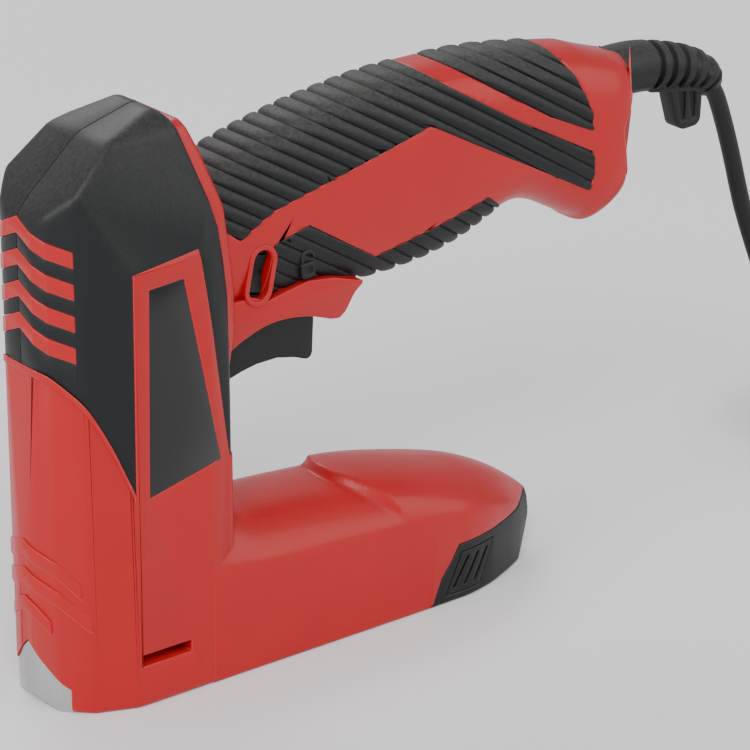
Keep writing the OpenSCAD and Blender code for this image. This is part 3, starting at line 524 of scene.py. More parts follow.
def head_solid(name, side, grow=0.0, shrink_y=0.0, round_by=1.6):
    """Many-sided upright head; side is its convex outline of (x, z)."""
    plan = HALF_PLAN + [(x, -y) for x, y in HALF_PLAN[::-1]]
    lean = [(y, z) for y, z in FRONT_LEAN] + [(-y, z) for y, z in FRONT_LEAN[::-1]]
    cuts = planes_of(side, lambda x, z: Vector((x, 0, z)), grow)
    cuts += planes_of(plan, lambda x, y: Vector((x, y, 0)), grow - shrink_y)
    cuts += planes_of(lean, lambda y, z: Vector((0, y, z)), grow - shrink_y)
    obj = planed(name, (-40, -40, -10), (90, 40, 210), cuts)
    return soften(obj, round_by, 4, 9)


def magazine_ring(x):
    """Section of the magazine cover across its length."""
    top, half, crease = along(MAG_TOP, x), max(0.6, along(MAG_HALF, x)), along(MAG_CREASE, x)
    crease = min(crease, top - 1)
    corners = [(half, 0), (half, crease), (half * 0.78, crease + (top - crease) * 0.52),
               (half * 0.46, top - (top - crease) * 0.12), (0, top)]
    corners += [(-y, z) for y, z in corners[3::-1]]
    scale = min(1.0, half / 12)
    ring = []
    side = [1.2 * scale, 4 * scale, 7 * scale, 7 * scale]
    for y, z in rounded(corners, side + [6] + side[::-1], 5):
        start = 99.8 + 0.029 * y * y
        lift = 3.0 * ease((x - start) / 2.8) * (1 - ease((x - 112) / 42)) * ease((z - crease + 1) / 6)
        ring.append((x, y, z + lift))
    return ring


def magazine_solid(name):
    stops = [40 + 3 * i for i in range(19)] + [96 + 0.6 * i for i in range(48)]
    stops += [125 + 2.5 * i for i in range(26)] + [189, 190.5, 192, 193.2, 194.2, 195]
    return loft(name, [magazine_ring(x) for x in stops])


def grip_point(x, a, grow=0.0, knob=True):
    """Point of the grip's surface at length x and angle a round it."""
    top, bottom = along(GRIP_TOP, x) + grow, along(GRIP_BOTTOM, x) - grow
    half = (sizes().grip_width / MM / 2 if x < 150 else
            sizes().grip_width / MM / 2 - 0.9 * ease((x - 150) / 40) + 0.9 * ease((x - 195) / 20)) + grow
    power = 2 / 2.75
    y = half * math.copysign(abs(math.cos(a)) ** power, math.cos(a))
    z = (top + bottom) / 2 + (top - bottom) / 2 * math.copysign(abs(math.sin(a)) ** power, math.sin(a))
    if x > 205 and knob:
        limit = along(KNOB_REAR, z)
        round_off = 1 - 0.35 * ((x - 205) / 25) ** 3 * (abs(y) / half) ** 2
        x = 205 + (x - 205) * (limit - 205) / 25 * round_off
        y *= 1 - 0.34 * ease((x - 212) / 20) ** 2
    return (x, y, z)


def ring_angles(count):
    return [2 * math.pi * (k + 0.5) / count for k in range(count)]


def grip_solid(name):
    stops = [42 + 4 * i for i in range(40)] + [202 + 1.2 * i for i in range(23)] + [230]
    return loft(name, [[grip_point(x, a) for a in ring_angles(72)] for x in stops])


def ribbed_grip(name):
    """Grip whose surface is cut by slanting grooves; its rings follow the grooves."""
    tilt, pitch = RIB_TILT, sizes().rib_pitch / MM * math.sin(RIB_TILT)
    depth, cut = sizes().rib_depth / MM, 0.55
    first = 38 * math.sin(tilt) + 112 * math.cos(tilt)
    last = 210 * math.sin(tilt) + 188 * math.cos(tilt)
    places = []
    for i in range(int((last - first) / pitch) + 1):
        g = first + i * pitch
        for step, grow in ((-cut, 0.25), (-cut * 0.25, 0.25 - depth), (cut * 0.25, 0.25 - depth),
                           (cut, 0.1), (pitch * 0.35, 0.45), (pitch * 0.65, 0.5)):
            places.append((g + step, grow))
    rings = []
    for g, grow in places:
        ring = []
        for a in ring_angles(72):
            low, high = -200.0, 500.0
            for _ in range(30):
                x = (low + high) / 2
                z = (along(GRIP_TOP, x) + along(GRIP_BOTTOM, x)) / 2
                z += (along(GRIP_TOP, x) - along(GRIP_BOTTOM, x)) / 2 * math.copysign(
                    abs(math.sin(a)) ** (2 / 2.75), math.sin(a))
                if x * math.sin(tilt) + z * math.cos(tilt) < g:
                    low = x
                else:
                    high = x
            ring.append(grip_point(x, a, grow, False))
        rings.append(ring)
    return loft(name, rings)


def band(points, low):
    """Closed outline between a line of points and the same line lowered."""
    return list(points) + [(x, z - low) for x, z in points[::-1]]


def pill(r, length, grow=0.0, parts=12):
    """Outline of the lock's slot, leaning with the grip."""
    out = []
    for s, turn in ((1, 0), (-1, math.pi)):
        for k in range(parts + 1):
            a = turn + math.pi * k / parts
            x, z = (r + grow) * math.cos(a), s * (length / 2 - r) + (r + grow) * math.sin(a)
            out.append((LOCK[0] + x * math.cos(LOCK_TILT) - z * math.sin(-LOCK_TILT),
                        LOCK[1] + x * math.sin(-LOCK_TILT) + z * math.cos(LOCK_TILT)))
    return out


SCREWS = [(40, 61), (60, 29), (118, 30), (158, 30), (100, 170), (180, 170), (128, 127), (214, 127), (28, 180)]


def sink_screws(obj, places):
    """Cuts the screws' wells into the far side."""
    for x, z in places:
        shape(obj, rod_y("well", x, z, WELL_FLOOR, 60, WELL_R, 24))
    return obj


def hollow_head(obj):
    """Cuts the solenoid's room out of a piece of the head."""
    return shape(obj, block("hollow", *HEAD_ROOM))


# ---- sizes and colours -----------------------------------------------------


class StapleGunSizes(bpy.types.PropertyGroup):
    """Sizes of the looks, in the scene's length unit"""

    rib_pitch: FloatProperty(name="Rib Pitch", description="Distance between two grooves along the grip",
                             default=0.0084, min=0.004, max=0.02, unit="LENGTH")
    rib_depth: FloatProperty(name="Rib Depth", description="Depth of the grip's grooves",
                             default=0.0009, min=0.0002, max=0.002, unit="LENGTH")
    grip_width: FloatProperty(name="Grip Width", description="Width of the grip across its sides",
                              default=0.039, min=0.036, max=0.039, unit="LENGTH")
    staple_count: IntProperty(name="Staples", description="Staples in the glued stick", default=50,
                              min=5, max=50)
    floor_size: FloatProperty(name="Floor Size", description="Width of the studio floor", default=9.0,
                              min=2.0, max=30.0, unit="LENGTH")


class StapleGunColours(bpy.types.PropertyGroup):
    """Colours of the mouldings"""

    shell: FloatVectorProperty(name="Shell", description="Red housing shells", subtype="COLOR",
                               default=(0.47, 0.003, 0.005), min=0, max=1)
    cover: FloatVectorProperty(name="Head Cover", description="Black head cover and drawer end",
                               subtype="COLOR", default=(0.0028, 0.0036, 0.0040), min=0, max=1)
    grip: FloatVectorProperty(name="Soft Grip", description="Ribbed soft grip", subtype="COLOR",
                              default=(0.0028, 0.0036, 0.0040), min=0, max=1)
    lead: FloatVectorProperty(name="Lead", description="Lead, strain relief and plug", subtype="COLOR",
                              default=(0.0032, 0.0036, 0.004), min=0, max=1)


# ---- operators -------------------------------------------------------------


class SG_OT_camera(bpy.types.Operator):
    """Sets the camera that looks at the near side from the front left"""

    bl_idname = "staple_gun.camera"
    bl_label = "Camera"

    def execute(self, context):
        data = bpy.data.cameras.new("camera")
        data.lens, data.sensor_width, data.clip_end = 180.8, 36, 100
        camera = add_object("camera", data)
        camera.location = (-0.5898, -0.9159, 0.5543)
        camera.rotation_mode = "QUATERNION"
        camera.rotation_quaternion = Vector((0.5696, 0.7291, -0.3795)).to_track_quat("-Z", "Y")
        context.scene.camera = camera
        return {"FINISHED"}


class SG_OT_plug(bpy.types.Operator):
    """Makes the two-pin plug that lies on the folded lead"""

    bl_idname = "staple_gun.plug"
    bl_label = "Plug"

    def execute(self, context):
        px, py, pz = PLUG
        stops = [(-34, 4.2, 4.4), (-33, 5.2, 5.2), (-24, 5.8, 5.6), (-19.5, 7, 5.9), (-17, 10, 6.6),
                 (-12, 11.8, 7.2), (-8, 12.4, 7.3), (-6.6, 15.6, 7.9), (-5, 17.2, 8.3), (4.6, 17.4, 8.4),
                 (6.4, 17, 8.2), (7, 16, 7.6)]
        body = loft("plug_shell", [
            [(px + dx, py + w * math.copysign(abs(math.cos(a)) ** 0.55, math.cos(a)),
              pz - 0.5 + h * math.copysign(abs(math.sin(a)) ** 0.6, math.sin(a))) for a in ring_angles(48)]
            for dx, w, h in stops])
        for i in range(4):
            x = px - 31 + 3.2 * i
            for y0 in (-9, 2.6):
                shape(body, block("slot", (x, py + y0, pz - 20), (x + 1.4, py + y0 + 6.4, pz + 20)))
        soften(body, 0.25, 2, 50)
        dressed(body, "housing", lead_rubber(), ["plug_body"])
        nickel = metal("Nickelled Brass", (0.78, 0.76, 0.70), 0.22, (0.05, 1, 1))
        pin_stops = [(6.5, 2.4), (14, 2.4), (14.05, 2.38), (24.6, 2.38), (25.6, 1.9), (25.9, 1.1)]
        for name, y, nodes in (("plug_pin_near", py - 9.5, ["plug_pins"]), ("plug_pin_far", py + 9.5, ())):
            pin = loft(name, [[(px + dx, y + r * math.cos(a), pz + r * math.sin(a)) for a in ring_angles(24)]
                              for dx, r in pin_stops])
            dressed(pin, "housing", nickel, nodes)
        return {"FINISHED"}


class SG_OT_lead(bpy.types.Operator):
    """Makes the mains lead: down from the strain relief, then folded into a tied hank"""

    bl_idname = "staple_gun.lead"
    bl_label = "Mains Lead"

    def route(self):
        px, py, pz = PLUG
        points = smooth_line(LEAD_ROUTE + [(337, -26, TIE_T + CORD_D / 2 + 0.1)], 2)
        x0, x1 = HANK
        levels = [(r, TIE_T + CORD_D * (layer + 0.5)) for r, layer in HANK_TURNS]
        for turn, (r, z) in enumerate(levels):
            next_r, next_z = levels[min(turn + 1, len(levels) - 1)]
            points += [(x0 + (x1 - x0) * k / 6, -r, z) for k in range(6)]
            points += [(x1 + r * math.sin(a), -r * math.cos(a), z) for a in
                       [math.pi * k / 14 for k in range(14)]]
            points += [(x1 + (x0 - x1) * k / 6, r, z) for k in range(6)]
            if turn == len(levels) - 1:
                next_z = z + 6.0
            for k in range(14):
                t = ease(k / 14)
                rr, zz = r + (next_r - r) * t, z + (next_z - z) * t
                a = math.pi * k / 14
                points.append((x0 - rr * math.sin(a), rr * math.cos(a), zz))
        end = (px - 33.6, py, pz - 0.75)
        r = levels[-1][0]
        start = (x0, -r, levels[-1][1] + 6.0)
        for k in range(9):
            t = k / 8
            points.append((start[0] + (end[0] - start[0]) * t, start[1] + (end[1] - start[1]) * ease(t),
                           start[2] + (end[2] - start[2]) * ease(t)))
        return points

    def execute(self, context):
        points = self.route()
        rings = tube_rings(points, [CORD_D / 2] * len(points), 14)
        cord = loft("mains_lead", rings)
        dressed(cord, "housing", lead_rubber(), ["lead", "lead_coil"])
        return {"FINISHED"}


class SG_OT_tie(bpy.types.Operator):
    """Makes the strap that holds the folded lead together"""

    bl_idname = "staple_gun.tie"
    bl_label = "Lead Strap"

    def execute(self, context):
        x = (HANK[0] + HANK[1]) / 2 - 12
        side = 29.25 + TIE_T
        top = 3 * CORD_D + 2 * TIE_T
        outline = rounded([(-side, 0), (-side, top), (side, top), (side, 0)], [2.4] * 4, 4)
        inside = rounded([(-side + TIE_T, TIE_T), (-side + TIE_T, top - TIE_T),
                          (side - TIE_T, top - TIE_T), (side - TIE_T, TIE_T)], [1.8] * 4, 4)
        strap = prism_x("lead_band", outline, x - 5, x + 5)
        shape(strap, prism_x("hole", inside, x - 9, x + 9))
        for i in range(5):
            shape(strap, block("groove", (x - 4.2 + 1.9 * i, -side + 4, top - 0.2),
                               (x - 3.6 + 1.9 * i, side - 4, top + 3)))
        soften(strap, 0.2, 2, 40)
        nylon = moulding("Tie Nylon", (0.012, 0.012, 0.013), 0.4, 0.0006, 0.00005, 0.6, 0.08)
        dressed(strap, "housing", nylon, ["lead_tie"])
        return {"FINISHED"}


class SG_OT_head_shell(bpy.types.Operator):
    """Makes the red column under the head cover with its nose opening, windows and front ribs"""

    bl_idname = "staple_gun.head_shell"
    bl_label = "Head Shell"

    def execute(self, context):
        arch = smooth_line(ARCH, 5)
        zone = arch + COVER_ZONE[len(ARCH):]
        column = head_solid("head_shell", COLUMN_SIDE)
        shape(column, prism_y("zone", [(x, z + 0.1) for x, z in zone], -FAR, FAR))
        nose = [(15, -3), (15, 8), (0.01, 22.4), (-15, 8), (-15, -3)]
        shape(column, prism_x("nose", nose, -40, 6.3))
        shape(column, block("channel", (-1.5, -CHANNEL_HALF, -3), (90, CHANNEL_HALF, CHANNEL_TOP)))
        shape(column, block("window", (12, -60, 14.3), (31, 60, 18.3)))
        hollow_head(column)
        for y0, y1 in ((-60, -25.15), (25.15, 60)):
            shape(column, prism_y("plate_seat", PLATE, y0, y1))
        sink_screws(column, SCREWS[:1])
        soften(column, 0.3, 2, 50, False)
        dressed(column, "housing", red_plastic(), ["housing_left", "housing_right"])
        lip = head_solid("arch_lip", COLUMN_SIDE, grow=0.55)
        shape(lip, prism_y("band", band(arch[2:-1], 2.6), -FAR, FAR), "INTERSECT")
        shape(lip, block("hollow", (-9, -11, 60), (3, 11, 130)))
        hollow_head(lip)
        soften(lip, 0.4, 3, 40, False)
        dressed(lip, "housing", red_plastic())
        bands = [((0, 57.6), (13, 52.5), (18.3, 45.4), (18.5, 40)),
                 ((0, 48), (13, 42.6), (20.4, 33.6), (20.6, 28.5)),
                 ((0, 38), (5, 36), (10.4, 31.4), (10.6, 27))]
        for i, b in enumerate(bands):
            half = b[1:] + ((b[1][0], b[1][1] - 5.2),)
            outline = [b[0], *half, (0, b[0][1] - 5.2), *((-y, z) for y, z in half[::-1])]
            rib = head_solid(f"front_rib_{i + 1}", COLUMN_SIDE, grow=0.6)
            shape(rib, prism_x("band", outline, -40, 0), "INTERSECT")
            shape(rib, block("hollow", (-9, -11, 10), (3, 11, 80)))
            soften(rib, 0.35, 2, 40, False)
            dressed(rib, "housing", red_plastic())
        return {"FINISHED"}


class SG_OT_head_cover(bpy.types.Operator):
    """Makes the faceted black head cover, its red stripes and the bare name plates"""

    bl_idname = "staple_gun.head_cover"
    bl_label = "Head Cover"

    def stripes(self):
        out = []
        for i in range(STRIPES):
            z = STRIPE_TOP - STRIPE_PITCH * i
            out.append([(0, z), (18.6, z - 8.6), (18.6, z - 14), (0, z - 5.6), (-18.6, z - 14),
                        (-18.6, z - 8.6)])
        return out

    def execute(self, context):
        arch = smooth_line(ARCH, 5)
        zone = arch + COVER_ZONE[len(ARCH):]
        cover = head_solid("head_cover", COVER_SIDE, round_by=2.4)
        shape(cover, prism_y("zone", zone, -FAR, FAR), "INTERSECT")
        for outline in self.stripes():
            shape(cover, prism_x("stripe", outline, -40, 1))
        shape(cover, prism_y("parting", [(-30, 0), (60, 0), (60, 230), (-30, 230)], -0.12, 0.12))
        hollow_head(cover)
        sink_screws(cover, SCREWS[-1:])
        soften(cover, 0.35, 2, 42, False)
        dressed(cover, "housing", black_plastic(), ["head_cover_left", "head_cover_right"], 26)
        for i, outline in enumerate(self.stripes()):
            stripe = head_solid(f"front_stripe_{i + 1}", COVER_SIDE, grow=0.05, round_by=2.4)
            inset = [(y, z - 0.08 if k in (0, 1, 5) else z + 0.08) for k, (y, z) in enumerate(outline)]
            shape(stripe, prism_x("band", inset, -40, 1), "INTERSECT")
            shape(stripe, block("hollow", (-8, -11, 90), (9, 11, 180)))
            soften(stripe, 0.3, 2, 42, False)
            dressed(stripe, "housing", red_plastic(), ["front_stripes"] if i == 0 else ())
        for s, side in ((-1, "left"), (1, "right")):
            plate = prism_y("name_plate_" + side, PLATE, s * 25.1, s * 25.92)
            soften(plate, 0.25, 2, 40)
            dressed(plate, "housing", plate_gloss(), ["name_plates"] if s < 0 else ())
        rim_side = [(20, 120), (22, 184), (39.5, 189.2), (44.2, 178), (49.4, 162), (52.4, 147), (54.8, 131),
                    (54.6, 118), (51.2, 104)]
        rim = head_solid("rear_rim", rim_side, shrink_y=1.0, round_by=2.0)
        shape(rim, block("hollow", (-5, -12, 100), (36, 12, 178)))
        sink_screws(rim, SCREWS[-1:])
        dressed(rim, "housing", red_plastic())
        return {"FINISHED"}


class SG_OT_magazine(bpy.types.Operator):
    """Makes the red magazine cover with its swept step and drawer bay"""

    bl_idname = "staple_gun.magazine"
    bl_label = "Magazine Cover"

    def execute(self, context):
        cover = magazine_solid("magazine_cover")
        shape(cover, prism_y("bay", BAY, -FAR, FAR))
        shape(cover, block("channel", (-5, -CHANNEL_HALF, -3), (150, CHANNEL_HALF, CHANNEL_TOP)))
        shape(cover, block("parting", (110, -0.1, 19), (200, 0.1, 19.5)))
        shape(cover, block("head", (0, -22, -5), (46, 22, 80)))
        sink_screws(cover, SCREWS[1:4])
        soften(cover, 0.3, 2, 55, False)
        dressed(cover, "housing", red_plastic(), (), 40)
        return {"FINISHED"}


class SG_OT_grip(bpy.types.Operator):
    """Makes the red grip moulding and the three ribbed soft pads set into it"""

    bl_idname = "staple_gun.grip"
    bl_label = "Grip"

    def inner_space(self, obj):
        shape(obj, block("trigger_slot", *TRIGGER_ROOM))
        shape(obj, block("switch_room", (60, -8, 118), (100, 8, 145)))
        shape(obj, prism_y("lock_slot", pill(LOCK_R, LOCK_L, 0.3), -FAR, FAR))
        return obj

    def execute(self, context):
        red = grip_solid("grip_shell")
        for outline in (UPPER_SKIN, REAR_SKIN, LOWER_SKIN):
            shape(red, prism_y("pad", outline, -FAR, FAR))
        self.inner_space(red)
        mouth = [(9.2 * math.cos(a), RELIEF_Z + 9.2 * math.sin(a)) for a in ring_angles(40)]
        shape(red, prism_x("relief_hole", mouth, 214, 250))
        sink_screws(red, [SCREWS[7]])
        soften(red, 0.35, 2, 50, False)
        dressed(red, "housing", red_plastic(), (), 38)
        ribbed = ribbed_grip("ribbed")
        pads = (("soft_grip_upper", UPPER_SKIN, [SCREWS[4]], ["soft_grip_left", "soft_grip_right"]),
                ("soft_grip_rear", REAR_SKIN, [SCREWS[5]], []),
                ("soft_grip_lower", LOWER_SKIN, [SCREWS[6]], []))
        for name, outline, screws, nodes in pads:
            pad = add_object(name, ribbed.data.copy())
            shape(pad, prism_y("pad", outline, -FAR, FAR), "INTERSECT")
            if name != "soft_grip_rear":
                self.inner_space(pad)
            sink_screws(pad, screws)
            soften(pad, 0.3, 2, 60, False)
            dressed(pad, "housing", soft_rubber(), nodes, 36)
        bpy.data.objects.remove(ribbed)
        return {"FINISHED"}


class SG_OT_trigger(bpy.types.Operator):
    """Makes the red shroud, the trigger, the lock button with its rim and the open-padlock mark"""

    bl_idname = "staple_gun.trigger"
    bl_label = "Trigger and Lock"

    def padlock(self):
        """Small raised open padlock, as a plain sign"""
        x, z, y = 83.5, 132.4, -19.15
        body = rounded([(x - 2.6, z - 4.4), (x + 2.6, z - 4.4), (x + 2.8, z + 0.6), (x - 2.8, z + 0.6)],
                       [1.2] * 4, 4)
        mark = prism_y("padlock_mark", body, y - 0.75, y + 2)
        inner = rounded([(x - 1.5, z - 3.3), (x + 1.5, z - 3.3), (x + 1.6, z - 0.5), (x - 1.6, z - 0.5)],
                        [0.7] * 4, 4)
        shape(mark, prism_y("hole", inner, y - 3, y - 0.2))
        arc = [(x + 2.0 * math.cos(a), z + 1.9 + 2.2 * math.sin(a)) for a in
               [math.radians(200 - 14 * k) for k in range(15)]]
        outer = [(x + (px - x) * 1.42, z + 1.9 + (pz - z - 1.9) * 1.42) for px, pz in arc]
        shape(mark, prism_y("shackle", arc + outer[::-1], y - 0.7, y + 2), "UNION")
        soften(mark, 0.12, 2, 40)
        return mark

    def execute(self, context):
        shroud = prism_y("trigger_shroud", smooth_line(SHROUD[:9], 3) + SHROUD[9:], -19.2, 19.2)
        wedge = [(15.4, 100), (17.6, 113), (19.1, 123), (19.1, 130)]
        wedge += [(-y, z) for y, z in wedge[::-1]]
        shape(shroud, prism_x("wedge", wedge, 30, 120), "INTERSECT")
        shape(shroud, block("trigger_slot", *TRIGGER_ROOM))
        soften(shroud, 0.9, 3, 35)
        dressed(shroud, "housing", red_plastic())
        trigger = prism_y("trigger_lever", TRIGGER, -7.5, 7.5)
        soften(trigger, 1.5, 4, 35)
        for i in range(3):
            x = 66 + 8.5 * i
            shape(trigger, rod_y("grip_line", x, 94.6 - 0.2 * i, -20, 20, 0.9, 16))
        soften(trigger, 0.2, 2, 60, False)
        shape(trigger, block("nub", (73, -2.5, 110), (77, 2.5, 119)), "UNION")
        dressed(trigger, "trigger", black_plastic(), ["trigger"])
        rim = prism_y("lock_rim", pill(LOCK_R, LOCK_L, 2.3), -19.9, -15)
        shape(rim, prism_y("hole", pill(LOCK_R, LOCK_L, 0.5), -FAR, FAR))
        soften(rim, 0.5, 3, 40)
        dressed(rim, "housing", red_plastic())
        button = prism_y("lock_slide", pill(LOCK_R, LOCK_L, -0.02), -17.3, 23.1)
        dish = [(-30, 9), (-17.4, 7.2), (-15.9, 3.4), (-15.6, 0.6)]
        shape(button, loft("dish", [[(LOCK[0] + r * math.cos(a), y, LOCK[1] + r * math.sin(a))
                                     for a in ring_angles(32)] for y, r in dish]))
        soften(button, 0.3, 2, 50, False)
        dressed(button, "lock_button", black_plastic(), ["lock_button"])
        dressed(self.padlock(), "housing", soft_rubber())
        return {"FINISHED"}


class SG_OT_drawer(bpy.types.Operator):
    """Makes the black drawer end and its two grooved squeeze tabs"""

    bl_idname = "staple_gun.drawer"
    bl_label = "Drawer End"

    def execute(self, context):
        end = magazine_solid("drawer_handle")
        shape(end, prism_y("outline", DRAWER_END, -FAR, FAR), "INTERSECT")
        shape(end, block("rail", (100, -5, -3), (145.1, 5, 13.4)))
        shape(end, block("channel", (100, -CHANNEL_HALF, -3), (133, CHANNEL_HALF, 18)))
        grown = [(TAB[0][0] - 0.4, 2.7), (TAB[1][0] + 0.3, 2.7), (TAB[2][0] + 0.4, 17.3),
                 (TAB[3][0] - 0.3, 17.3)]
        for y0, y1 in ((-60, -18.6), (18.6, 60)):
            shape(end, prism_y("pocket", grown, y0, y1))
        soften(end, 0.5, 3, 40, False)
        dressed(end, "drawer", black_plastic(), ["drawer_end"], 36)
        for s, side in ((-1, "left"), (1, "right")):
            tab = magazine_solid("squeeze_tab_" + side)
            y0, y1 = sorted((s * 20.8, s * 40))
            shape(tab, prism_y("outline", TAB, y0, y1), "INTERSECT")
            for i, floor_y in enumerate((24.4, 24.0, 22.9)):
                x = 136 + 2.6 + 4.7 * i
                groove = [(x, 4.8), (x + 6.6, 15.2), (x + 8.0, 15.2), (x + 1.4, 4.8)]
                y2, y3 = sorted((s * floor_y, s * 40))
                shape(tab, prism_y("groove", groove, y2, y3))
            soften(tab, 0.3, 2, 40, False)
            dressed(tab, "tab_" + side, black_plastic(), ["tab_" + side])
        return {"FINISHED"}


class SG_OT_relief(bpy.types.Operator):
    """Makes the tapered strain relief with its ribs and hanging strap loop"""

    bl_idname = "staple_gun.relief"
    bl_label = "Strain Relief"

    def execute(self, context):
        line = smooth_line([(x, 0, z) for x, z in RELIEF_PATH], 12)
        total, lengths = 0.0, [0.0]
        for a, b in zip(line, line[1:]):
            total += (Vector(b) - Vector(a)).length
            lengths.append(total)
        radii = []
        for s in lengths:
            r = 9.2 - 3.0 * (s / total) ** 1.8 - 1.0 * ease((s - total + 3) / 3)
            wave = (s - 12.2) / 6.1
            if 0 < wave < 5.3:
                r -= 1.9 * ease(1.7 - abs((wave % 1.0) - 0.28) * 6.0)
            radii.append(min(r, 9.2))
        path = [(222, 0, RELIEF_Z), (226, 0, RELIEF_Z)] + line
        relief = loft("strain_sleeve", tube_rings(path, [9.1, 9.1] + radii, 32))
        dressed(relief, "housing", lead_rubber(), ["strain_relief"], 45)
        web = [(240, 158), (262, 155), (270, 151), (270, 148), (262, 150.8), (242, 154)]
        loop = [(251, 156), (256.2, 138.4), (259, 137), (265.4, 137.4), (267, 139.4), (267.6, 152)]
        strap = prism_y("strap_loop", rounded(loop, [1, 1.5, 1, 1.5, 1, 1], 3), -3.4, 3.4)
        for x0, x1 in ((257.6, 259.6), (262.4, 264.2)):
            slot = [(x0 + 0.4, 140.4), (x1 - 0.1, 140.4), (x1, 152.6), (x0 - 1.4, 152.6)]
            shape(strap, prism_y("slot", slot, -FAR, -2.2))
            shape(strap, prism_y("slot", slot, 2.2, FAR))
        soften(strap, 0.6, 3, 40, False)
        dressed(strap, "housing", lead_rubber())
        under = prism_y("sleeve_web", rounded(web, [1] * 6, 3), -4.2, 4.2)
        soften(under, 1.0, 3, 40)
        dressed(under, "housing", lead_rubber())
        return {"FINISHED"}


def repeat_tree(name, inputs):
    """Empty geometry tree with an input mesh of points and named inputs."""
    tree = bpy.data.node_groups.new(name, "GeometryNodeTree")
    tree.interface.new_socket(name="Geometry", in_out="INPUT", socket_type="NodeSocketGeometry")
    for label, kind, value in inputs:
        s = tree.interface.new_socket(name=label, in_out="INPUT", socket_type=kind)
        if value is not None:
            s.default_value = value
    tree.interface.new_socket(name="Geometry", in_out="OUTPUT", socket_type="NodeSocketGeometry")
    return tree, tree.nodes.new("NodeGroupInput"), tree.nodes.new("NodeGroupOutput")


def run_tree(obj, tree, values):
    """Runs a geometry tree on an object, its inputs set by identifier, and keeps plain mesh."""
    m = obj.modifiers.new("repeat", "NODES")
    m.node_group = tree
    for item in tree.interface.items_tree:
        if item.item_type == "SOCKET" and item.in_out == "INPUT" and item.name in values:
            m[item.identifier] = values[item.name]
    settle(obj)
    if not obj.data.polygons:
        raise RuntimeError(f"{obj.name} came out empty")
    return obj


class SG_OT_screws(bpy.types.Operator):
    """Sets a cross-recess screw in each well of the far side"""

    bl_idname = "staple_gun.screws"
    bl_label = "Housing Screws"

    def execute(self, context):
        steel = metal("Zinc Plated Screw", (0.58, 0.57, 0.55), 0.32)
        tree, given, out = repeat_tree("Cross Recess Screws", [
            ("Head Radius", "NodeSocketFloat", 0.0028), ("Head Height", "NodeSocketFloat", 0.0022),
            ("Shank Radius", "NodeSocketFloat", 0.0015), ("Shank Length", "NodeSocketFloat", 0.026),
            ("Slot Width", "NodeSocketFloat", 0.0008), ("Material", "NodeSocketMaterial", None)])
        head = node(tree, "GeometryNodeMeshCylinder", {}, Vertices=32, Radius=given.outputs["Head Radius"],
                    Depth=given.outputs["Head Height"])
        raised = node(tree, "GeometryNodeTransform", {}, Geometry=head.outputs[0], Translation=(0, 0, 0.0011))
        slots = []
        for turn in (0, math.pi / 2):
            size = node(tree, "ShaderNodeCombineXYZ", {}, X=0.0034, Y=given.outputs["Slot Width"], Z=0.0024)
            bar = node(tree, "GeometryNodeMeshCube", {}, Size=size.outputs[0])
            slots.append(node(tree, "GeometryNodeTransform", {}, Geometry=bar.outputs[0],
                              Translation=(0, 0, 0.0022), Rotation=(0, 0, turn)))
        first = node(tree, "GeometryNodeMeshBoolean", {"operation": "DIFFERENCE", "solver": "EXACT"})
        tree.links.new(raised.outputs[0], first.inputs["Mesh 1"])
        for s in slots:
            tree.links.new(s.outputs[0], first.inputs["Mesh 2"])
        shank = node(tree, "GeometryNodeMeshCylinder", {}, Vertices=20, Radius=given.outputs["Shank Radius"],
                     Depth=given.outputs["Shank Length"])
        half = maths(tree, "MULTIPLY", given.outputs["Shank Length"], -0.5)
        down = node(tree, "ShaderNodeCombineXYZ", {}, Z=half)
        low = node(tree, "GeometryNodeTransform", {}, Geometry=shank.outputs[0], Translation=down.outputs[0])
        joined = node(tree, "GeometryNodeJoinGeometry")
        tree.links.new(first.outputs[0], joined.inputs[0])
        tree.links.new(low.outputs[0], joined.inputs[0])
        points = node(tree, "GeometryNodeMeshToPoints", {}, Mesh=given.outputs["Geometry"])
        placed = node(tree, "GeometryNodeInstanceOnPoints", {}, Points=points.outputs[0],
                      Instance=joined.outputs[0], Rotation=(-math.pi / 2, 0, 0))
        real = node(tree, "GeometryNodeRealizeInstances", {}, Geometry=placed.outputs[0])
        painted = node(tree, "GeometryNodeSetMaterial", {}, Geometry=real.outputs[0],
                       Material=given.outputs["Material"])
        tree.links.new(painted.outputs[0], out.inputs[0])
        mesh = bpy.data.meshes.new("shell_screws")
        mesh.from_pydata([(x * MM, 12 * MM, z * MM) for x, z in SCREWS], [], [])
        screws = run_tree(add_object("shell_screws", mesh), tree, {"Material": steel})
        dressed(screws, "housing", steel, ["housing_screws"])
        return {"FINISHED"}


